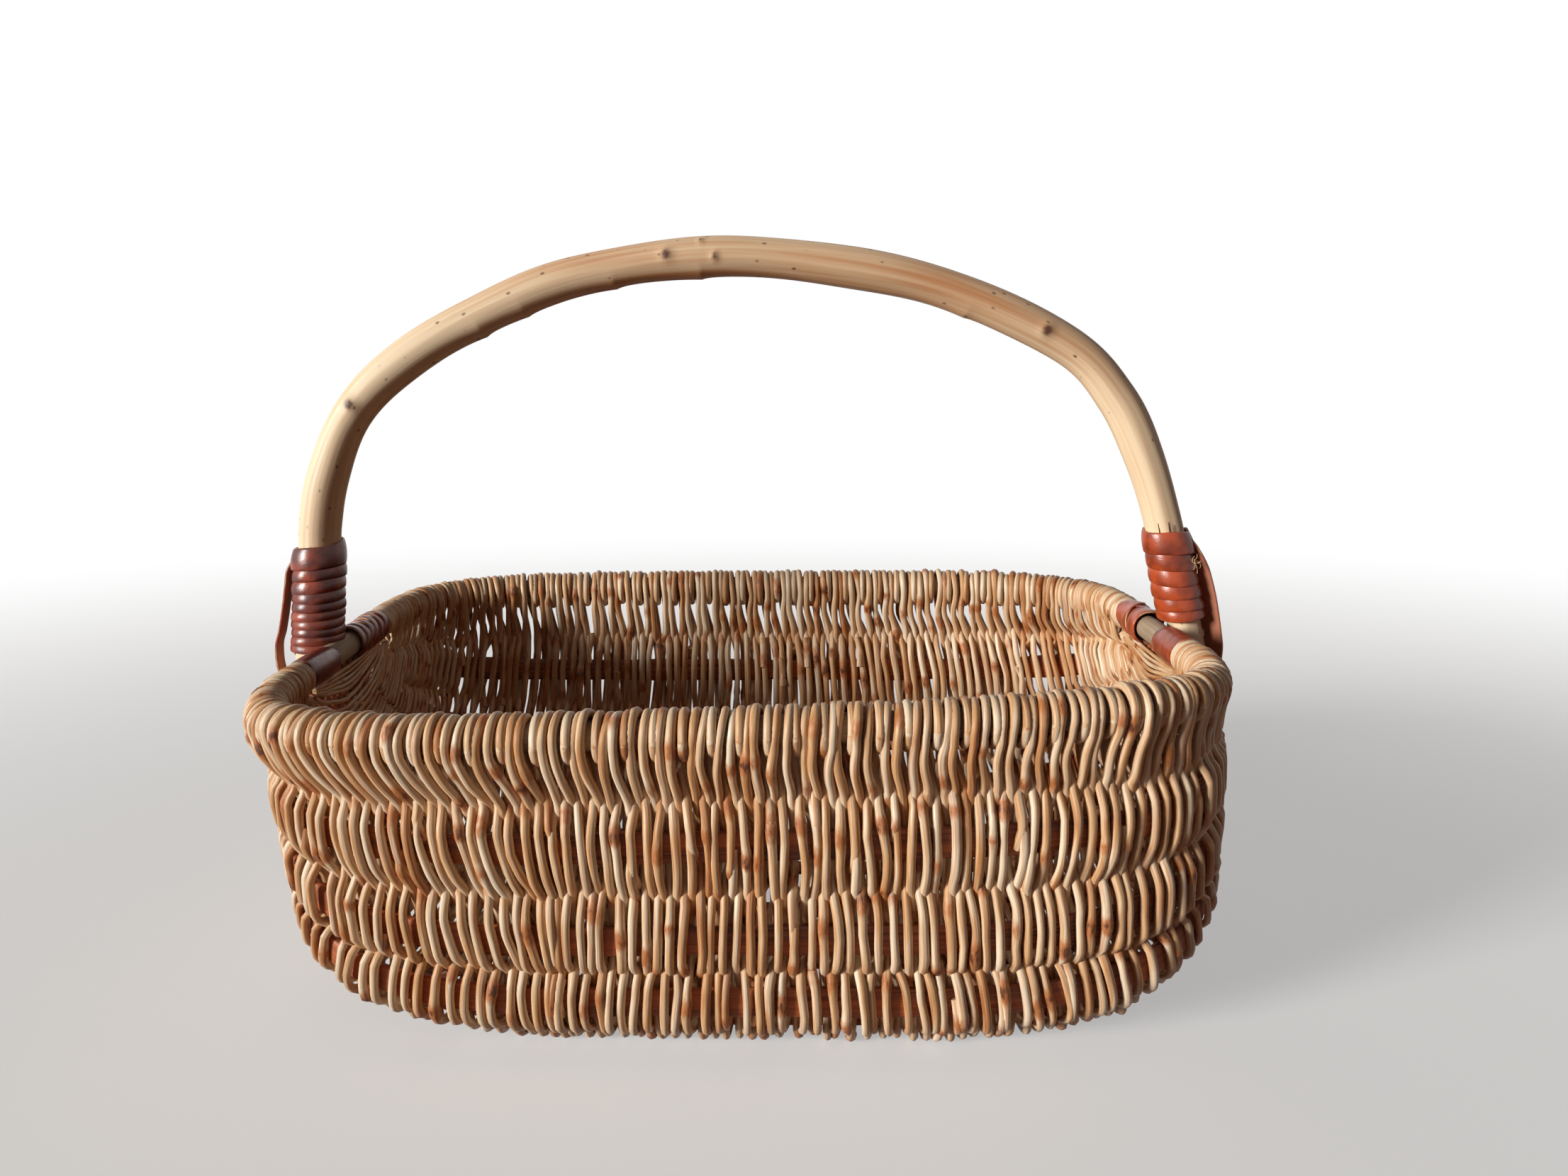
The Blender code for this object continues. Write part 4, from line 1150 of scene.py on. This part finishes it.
def add_handle(settings):
    """The bent rod, peeled with a knife: long facets, knots, and feet shaved to clear the weave."""
    # Fibres 2.4 x 111 mm, which are coarser than the real ones, growth in 17 x 143 mm patches
    material = wood_material(
        "peeled_rod", (settings.pale, settings.dark, settings.speck),
        (420.0, 420.0, 9.0), (60.0, 60.0, 7.0), 0.0013, (0.46, 0.66),
    )
    line = handle_line()
    base = RIM_HEIGHT + LEG_STRAIGHT
    part = np.clip((line[:, 2] - base) / (HANDLE_TOP - base), 0.0, 1.0)
    legs = np.where(line[:, 0] < 0, LEG_SHAPES[-1][2], LEG_SHAPES[1][2])
    radius = legs + (HANDLE_RADIUS - legs) * smooth(part * 1.3)
    out = np.broadcast_to(np.array([0.0, -1.0, 0.0]), line.shape)
    bundle = Bundle()
    profile = round_profile(HANDLE_SIDES)
    bundle.sweep(line, out, profile, radius[:, None], tone=np.interp(line[:, 0], *HANDLE_TONES))
    way = distances(line)
    across, outward = square_to(line, out)
    angles = np.arange(HANDLE_SIDES) * 2 * math.pi / HANDLE_SIDES
    radial = across[:, None] * profile[None, :, :1] + outward[:, None] * profile[None, :, 1:]
    marks = np.zeros((len(line), HANDLE_SIDES))
    # Two sets of facets that turn slowly along the rod, and its own unevenness
    turning = 0.6 * np.sin(way[:, None] * 9)
    facets = np.cos(5 * angles + turning) + 0.6 * np.cos(8 * angles - 2 * turning + 1.0)
    lift = settings.facet_depth * radius[:, None] * facets
    lift += 0.00025 * np.sin(way[:, None] * 75) + 0.0002 * np.sin(way[:, None] * 31 + 1.0)
    for x, z, turn, size in HANDLE_KNOTS:
        near = np.argmin(np.hypot(line[:, 0] - x, line[:, 2] - z))
        apart = np.angle(np.exp(1j * (angles - (math.pi / 2 + turn))))
        distance = np.hypot((way - way[near])[:, None], radius[near] * apart[None])
        lift += settings.knot_height * np.exp(-((distance / (1.6 * size)) ** 2))
        marks = np.maximum(marks, np.minimum(1.0, 2.0 * np.exp(-((distance / (0.85 * size)) ** 2))))
    under = np.clip(np.cos(angles), 0.0, 1.0)[None] ** 2
    for x, depth in HANDLE_STEPS:
        near = np.argmin(np.abs(line[:, 0] - x) + (line[:, 2] < base))
        after = (way - way[near])[:, None]
        fade = np.where(after < 0, np.exp(after / STEP_BEFORE), np.exp(-after / STEP_AFTER))
        lift += depth * under * fade
    points = bundle.points[0].reshape(len(line), HANDLE_SIDES, 3) + radial * lift[..., None]
    # The feet are shaved flat where they stand against the rim's rod
    for side in (-1, 1):
        height = rim_end_height(side)
        rise = np.clip((points[..., 2] - (height + ROD_RADIUS + 0.0006)) / 0.0035, 0.0, 1.0)
        least = RIM_HALF_LENGTH + ROD_RADIUS + 0.0007 - 0.012 * rise
        x = points[..., 0]
        own = (side * x > 0.15) & (rise < 1.0)
        points[..., 0] = np.where(own, side * np.maximum(side * x, least), x)
    bundle.points[0] = points.reshape(-1, 3)
    bundle.finish[0][:, 1] = marks.ravel()
    upper = LEG_BANDS[1][0] + sum(LEG_BANDS[1][1])
    for turn, size in CRACKS:
        outward = np.array([math.sin(turn), -math.cos(turn), 0.0])
        ways = np.linspace(-0.002, size, CRACK_STATIONS)
        crack = leg_axis(1, RIM_HEIGHT) + leg_direction(1) * (upper + ways)[:, None]
        crack = crack + outward * (LEG_SHAPES[1][2] + 0.0003)
        out = np.broadcast_to(outward, crack.shape)
        half = 0.00045 * np.linspace(1.0, 0.15, CRACK_STATIONS)
        scale = np.stack(np.broadcast_arrays(half, 0.00015), axis=1)
        bundle.sweep(crack, out, round_profile(6), scale, mark=1.0)
    return bundle.build("handle_rod", material, "debarked_rod", "handle")


# Where a strip's profile is cut edge, and where it is the flesh side
STRIP_EDGE = (np.abs(STRIP_PROFILE[:, 0]) > 0.97) & (np.abs(STRIP_PROFILE[:, 1]) < 0.5)
STRIP_FLESH = STRIP_PROFILE[:, 1] <= -0.75


def add_strip(bundle, line, out, width, thickness, tone, origin, profile=STRIP_PROFILE):
    """A leather strip whose ends are rounded off."""
    way = distances(line)
    ends = np.clip(np.minimum(way, way[-1] - way) / (width / 2), 0.0, 1.0)
    half = width / 2 * np.sqrt(np.maximum(1 - (1 - ends) ** 2, 0.06))
    scale = np.stack(np.broadcast_arrays(half, thickness / 2), axis=1)
    edge, flesh = STRIP_EDGE[None], STRIP_FLESH[None]
    bundle.sweep(line, out, profile, scale, tone=tone, mark=edge, flesh=flesh, origin=origin)


# The strip as it lies on a rod: pulled tight at its edges and rounded between them, to three times
# the crown
CROWN = np.maximum(STRIP_PROFILE[:, 1:] - 1.0, 0.0)
ROUNDED_PROFILE = STRIP_PROFILE + CROWN * [0.0, 2.0]

# Windings on the legs: height of the lowest edge above the rim, and how wide each turn shows, from
# below
LEG_BANDS = {
    -1: (-0.0036, (0.0042, *[0.0045] * 4, 0.0050, 0.0055, 0.0065, 0.0060, 0.0110)),
    1: (0.0140, (0.0052, 0.0068, 0.0074, 0.0080, 0.0088, 0.0106)),
}

# Windings on the rim beside each leg (left or right, front or back): how wide each turn shows
RIM_BANDS = {
    (-1, -1): (0.0320,),
    (-1, 1): (0.0068,) * 6,
    (1, -1): (0.0322,),
    (1, 1): (0.0205, 0.0198),
}

# Points in one turn of leather, and how sharply one turn steps to the next: 0 is an even screw
TURN_STEPS, TURN_SHARPNESS = 48, 0.7

# Painted shade: how much darker the left side's leather is painted than the right's
LEFT_PAINTED_SHADE = 0.44


def winding(origin, axis, first, hand, radius, bands, overlap, thickness, rng):
    """A strip wound round a rod in uneven turns: middle line, outward side, widths and tones."""
    turns = len(bands)
    second = np.cross(axis, first) * hand
    angles = np.linspace(0.0, 2 * math.pi * (turns + 0.04), turns * TURN_STEPS + 1)
    part = angles / (2 * math.pi)
    stations = np.arange(turns) + 0.5
    edges = np.concatenate([[0.0], np.cumsum(bands)])
    middles = (edges[:-1] + edges[1:]) / 2
    wave = rng.uniform(0, 6.28, 3)
    climb = part - TURN_SHARPNESS * np.sin(angles) / (2 * math.pi)
    along = np.interp(climb, stations, middles)
    if turns > 2:
        along += bands[-1] * 0.8 * np.maximum(climb - stations[-1], 0.0)
        along -= bands[0] * 0.5 * np.maximum(stations[0] - climb, 0.0)
    along += 0.0003 * np.sin(angles * 1.3 + wave[0])
    width = np.interp(part, stations, bands) + overlap + 0.0003 * np.sin(angles * 2.1 + wave[2])
    lean = 0.8 * thickness / width if turns > 1 else np.zeros(len(angles))
    distance = radius + thickness * 0.5 + lean * width * 0.5
    distance += 0.0002 * np.sin(angles * 2.7 + wave[1])
    radial = first * np.cos(angles)[:, None] + second * np.sin(angles)[:, None]
    line = origin + axis * along[:, None] + radial * distance[:, None]
    tones = np.interp(part, stations, rng.uniform(0.1, 0.5, turns))
    return line, unit(radial + axis * lean[:, None]), width, tones, radial


def add_lashings(settings):
    """Leather strip wound round each leg, and round the rim on both sides of it."""
    rng = np.random.default_rng(11)
    material = leather_material(settings)
    items = []
    for side, label in ((-1, "left"), (1, "right")):
        axis = leg_direction(side)
        # Painted shade: the left side's windings are painted darker, for the shade they lie in
        darker = LEFT_PAINTED_SHADE if side < 0 else 0.0
        start, bands = LEG_BANDS[side]
        line, out, width, tones, radial = winding(
            leg_axis(side, RIM_HEIGHT) + axis * start, axis, np.array([0.0, 1.0, 0.0]), -side,
            LEG_SHAPES[side][2], bands, 0.0013, settings.thickness, rng,
        )
        outside = np.clip(radial[:, 0] * side, 0.0, 1.0) ** 3
        raised = np.clip((np.arange(len(line)) / TURN_STEPS) - (len(bands) - 1.35), 0.0, 1.0)
        line += radial * (outside * raised)[:, None] * settings.thickness
        bundle = Bundle()
        add_strip(
            bundle, line, out, width, settings.thickness, tones + darker,
            (side, 0, 0), ROUNDED_PROFILE,
        )
        name, node = f"leg_winding_{label}", f"leg_lashing_{label}"
        items.append(bundle.build(name, material, "leather", node))
        for place, where, start in ((-1, "front", FRONT_START), (1, "back", BACK_START)):
            axis = np.array([0.0, float(place), 0.0])
            bands = RIM_BANDS[side, place]
            overlap = -0.0008 if len(bands) == 2 else 0.0012
            origin = np.array([side * RIM_HALF_LENGTH, place * start, RIM_HEIGHT])
            line, out, width, tones, _ = winding(
                origin, axis, -UP, side * place, ROD_RADIUS, bands, overlap, settings.thickness, rng
            )
            bundle = Bundle()
            add_strip(
                bundle, settled(line), out, width, settings.thickness, tones + darker,
                (0, side, place), ROUNDED_PROFILE,
            )
            name, node = f"rim_winding_{label}_{where}", f"rim_lashing_{label}_{where}"
            items.append(bundle.build(name, material, "leather", node))
        items.append(add_strap(settings, side, label, material))
    return items


# Straps: heights above the table and distances from the leg's middle; then width, twist and
# distance at the foot
STRAP_PLACES = {
    -1: ((0.1980, 0.0158), (0.1880, 0.0168), (0.1760, 0.0180), (0.1650, 0.0195), (0.1560, 0.0212)),
    1: ((0.2075, 0.0130), (0.1960, 0.0137), (0.1830, 0.0144), (0.1700, 0.0141)),
}
STRAP_SHAPES = {-1: (0.0085, 0.0, 0.0196), 1: (0.0135, 0.60, 0.0130)}


def add_strap(settings, side, label, material):
    """The strap down the leg's outer side, held under the top turn and turned in under the foot."""
    half = settings.thickness / 2
    top = RIM_HEIGHT + LEG_BANDS[side][0] + sum(LEG_BANDS[side][1])
    radius = LEG_SHAPES[side][2]
    width, twist, clear = STRAP_SHAPES[side]
    axis = leg_direction(side)
    outward = np.array([side * axis[2], 0.0, -side * axis[0]])
    foot = rim_end_height(side) - FOOT_DROP
    seat = radius + half + CLEARANCE
    hanging = (
        (top + 0.004, seat), (top - 0.002, seat), (top - 0.007, seat + CLEARANCE),
        *STRAP_PLACES[side], (foot + 0.0080, clear), (foot + 0.0010, radius + 0.0030),
    )
    under = half + 0.0003
    turned_in = (radius * 0.95, half + 0.0011), (radius * 0.3, under), (-radius * 0.3, under)
    knots = [leg_axis(side, height) + outward * away for height, away in hanging]
    knots += [leg_axis(side, foot) + outward * away - axis * below for away, below in turned_in]
    line = smooth_curve(knots, 12)
    tangents = tangents_of(line)
    out = np.stack([-tangents[:, 2], np.zeros(len(line)), tangents[:, 0]], axis=1) * side
    twisted = np.interp(line[:, 2], (foot, foot + 0.016, top - 0.024, top - 0.006), (0, 1, 1, 0))
    turn = twist * smooth(twisted)
    out = out * np.cos(turn)[:, None] + np.array([0.0, 1.0, 0.0]) * np.sin(turn)[:, None]
    bundle = Bundle()
    add_strip(bundle, line, out, width, settings.thickness, 0.45, (2, side, 1))
    if side > 0:
        middle = leg_axis(side, top - 0.017)
        add_fibres(bundle, middle + outward * 0.0085 + np.array([0.0, -0.0105, 0.0]))
    return bundle.build(f"strap_strip_{label}", material, "leather", f"strap_{label}")


def add_fibres(bundle, place):
    """A tuft of pale fibres that came loose from the strap's edge."""
    rng = np.random.default_rng(5)
    for _ in range(7):
        bend = rng.uniform(-2.5, 2.5)
        start = rng.uniform(0, 6.28)
        angles = start + bend * np.linspace(0.0, 1.0, 12)
        lean = np.full(12, rng.uniform(-0.5, 0.2))
        steps = np.stack([np.cos(angles), lean, np.sin(angles)], axis=1)
        root = place + rng.normal(0.0, 0.0008, 3)
        line = root + np.cumsum(unit(steps), axis=0) * rng.uniform(0.0003, 0.0006)
        out = transported(line, np.array([0.1, 1.0, 0.3]))
        bundle.sweep(line, out, round_profile(5), np.full((12, 2), 0.00016), mark=2.0)


def finish_nails():
    material = steel_material()
    for name in ("nail_left", "nail_right"):
        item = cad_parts[name]
        for slot in item.material_slots:
            slot.material = material


# The stage

# The middle of the basket, which both lights shine at
LIT = Vector((0.0, 0.0, 0.12))


def add_light(name, kind, place, size, power, tint):
    """A light that shines at the basket; size is an area light's diameter or the sun's angle."""
    light = bpy.data.lights.new(name, kind)
    if kind == "SUN":
        light.angle = size
    else:
        light.shape = "DISK"
        light.size = size
    light.energy = power
    light.color = linear(tint)[:3]
    item = add_object(name, light)
    item.location = place
    item.rotation_euler = (LIT - Vector(place)).to_track_quat("-Z", "Y").to_euler()


def add_camera():
    yaw, pitch, roll = CAMERA_YAW, CAMERA_PITCH, CAMERA_ROLL
    level = math.cos(pitch)
    forward = Vector((math.sin(yaw) * level, math.cos(yaw) * level, math.sin(pitch)))
    right = Vector((math.cos(yaw), -math.sin(yaw), 0.0))
    up = right.cross(forward)
    turned = math.cos(roll) * right + math.sin(roll) * up
    raised = -math.sin(roll) * right + math.cos(roll) * up
    camera = bpy.data.cameras.new("camera")
    camera.sensor_fit = "HORIZONTAL"
    camera.sensor_width = SENSOR_WIDTH
    camera.lens = FOCAL_PIXELS / PHOTO_WIDTH * SENSOR_WIDTH
    camera.clip_start = 0.01
    item = add_object("camera", camera)
    axes = Matrix((turned, raised, -forward)).transposed()
    item.matrix_world = Matrix.Translation(CAMERA_PLACE) @ axes.to_4x4()
    bpy.context.scene.camera = item


def background_rays(tree):
    """1 for rays that see the background: the camera's, and those off metal or through glass."""
    rays = add_node(tree, "ShaderNodeLightPath").outputs
    seen = rays["Is Camera Ray"]
    for kind in ("Is Glossy Ray", "Is Transmission Ray"):
        seen = add_node(tree, "ShaderNodeMath", (seen, rays[kind]), operation="MAXIMUM").outputs[0]
    return seen


def add_stage(settings):
    material, tree, shader = new_material("matte_floor")
    place = add_node(tree, "ShaderNodeTexCoord").outputs["Object"]
    # Clouds a third of a metre wide, 3% darker at most
    inputs = {"Vector": place, "Scale": 3.0, "Detail": 3.0}
    cloud = add_node(tree, "ShaderNodeTexNoise", inputs).outputs["Fac"]
    stops = [(0.3, settings.floor), (0.75, tuple(c * 0.97 for c in settings.floor[:3]) + (1.0,))]
    tint = add_node(tree, "ShaderNodeValToRGB", (cloud,), stops=stops).outputs[0]
    seen = background_rays(tree)
    inputs = {0: seen, 6: settings.bounce, 7: tint}
    base = add_node(tree, "ShaderNodeMix", inputs, data_type="RGBA").outputs[2]
    tree.links.new(base, shader.inputs["Base Color"])
    shader.inputs["Roughness"].default_value = 0.8
    # The floor glows for those rays alone, and more so far away, so it is pale and fades into the
    # background
    away = add_node(tree, "ShaderNodeVectorMath", (place,), operation="LENGTH").outputs["Value"]
    inputs = (away, 0.35, 1.9, 0.42, 1.0)
    fade = add_node(tree, "ShaderNodeMapRange", inputs, interpolation_type="SMOOTHSTEP").outputs[0]
    share = add_node(tree, "ShaderNodeMath", (fade, seen), operation="MULTIPLY").outputs[0]
    glow = add_node(tree, "ShaderNodeEmission", (linear("#ffffff"), 1.0)).outputs[0]
    surface = add_node(tree, "ShaderNodeMixShader", (share, shader.outputs[0], glow)).outputs[0]
    tree.links.new(surface, tree.nodes["Material Output"].inputs["Surface"])
    mesh = bpy.data.meshes.new("floor")
    mesh.from_pydata([(-6, -6, 0), (6, -6, 0), (6, 6, 0), (-6, 6, 0)], [], [(0, 1, 2, 3)])
    mesh.materials.append(material)
    floor = add_object("floor", mesh)
    add_light("key", "SUN", (-1.0, -0.62, 0.37), math.radians(16), settings.key_power, "#fffefa")
    add_light("back", "AREA", (-0.4, 1.3, 1.2), 1.0, settings.back_power, "#fff2e0")
    world = bpy.data.worlds.new("studio")
    world.use_nodes = True
    tree = world.node_tree
    background = tree.nodes["Background"]
    seen = background_rays(tree)
    inputs = (seen, 0.0, 1.0, settings.ambient, 1.0)
    strength = add_node(tree, "ShaderNodeMapRange", inputs).outputs[0]
    tree.links.new(strength, background.inputs["Strength"])
    inputs = {0: seen, 6: settings.fill, 7: linear("#ffffff")}
    tint = add_node(tree, "ShaderNodeMix", inputs, data_type="RGBA").outputs[2]
    tree.links.new(tint, background.inputs["Color"])
    bpy.context.scene.world = world
    bpy.context.scene.view_settings.view_transform = "Standard"
    add_camera()


class BASKET_OT_weave(bpy.types.Operator):
    """Weave the walls and floor and wind the rim"""

    bl_idname = "basket.weave"
    bl_label = "Weave"

    def execute(self, context):
        add_weave(context.scene.basket_willow)
        return {"FINISHED"}


class BASKET_OT_frame(bpy.types.Operator):
    """Add the split laths and the rim's bent rod"""

    bl_idname = "basket.frame"
    bl_label = "Laths and Rim Rod"

    def execute(self, context):
        add_laths(context.scene.basket_lath)
        add_hoop(context.scene.basket_lath)
        return {"FINISHED"}


class BASKET_OT_handle(bpy.types.Operator):
    """Add the bent-rod handle and finish its nails"""

    bl_idname = "basket.handle"
    bl_label = "Handle"

    def execute(self, context):
        add_handle(context.scene.basket_handle)
        finish_nails()
        return {"FINISHED"}


class BASKET_OT_leather(bpy.types.Operator):
    """Wind the leather lashings and hang the straps"""

    bl_idname = "basket.leather"
    bl_label = "Leather"

    def execute(self, context):
        add_lashings(context.scene.basket_leather)
        return {"FINISHED"}


class BASKET_OT_stage(bpy.types.Operator):
    """Add the floor, lights, background and camera"""

    bl_idname = "basket.stage"
    bl_label = "Stage"

    def execute(self, context):
        add_stage(context.scene.basket_stage)
        return {"FINISHED"}


class BASKET_PT_panel(bpy.types.Panel):
    """Sizes and colours of the basket"""

    bl_idname = "BASKET_PT_panel"
    bl_label = "Wicker Basket"
    bl_space_type = "VIEW_3D"
    bl_region_type = "UI"
    bl_category = "Basket"

    def draw(self, context):
        for name, kind, operator in GROUPS:
            box = self.layout.box()
            for key in kind.__annotations__:
                box.prop(getattr(context.scene, name), key)
            box.operator(operator)


GROUPS = (
    ("basket_lath", LathSettings, "basket.frame"),
    ("basket_willow", WillowSettings, "basket.weave"),
    ("basket_handle", HandleSettings, "basket.handle"),
    ("basket_leather", LeatherSettings, "basket.leather"),
    ("basket_stage", StageSettings, "basket.stage"),
)
OPERATORS = (BASKET_OT_weave, BASKET_OT_frame, BASKET_OT_handle, BASKET_OT_leather, BASKET_OT_stage)


def register():
    for name, kind, _ in GROUPS:
        bpy.utils.register_class(kind)
        setattr(bpy.types.Scene, name, PointerProperty(type=kind))
    for operator in OPERATORS:
        bpy.utils.register_class(operator)
    bpy.utils.register_class(BASKET_PT_panel)


def unregister():
    bpy.utils.unregister_class(BASKET_PT_panel)
    for operator in reversed(OPERATORS):
        bpy.utils.unregister_class(operator)
    for name, kind, _ in reversed(GROUPS):
        delattr(bpy.types.Scene, name)
        bpy.utils.unregister_class(kind)


def main():
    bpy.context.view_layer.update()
    register()
    bpy.ops.basket.frame()
    bpy.ops.basket.weave()
    bpy.ops.basket.handle()
    bpy.ops.basket.leather()
    bpy.ops.basket.stage()


if __name__ == "__main__":
    main()
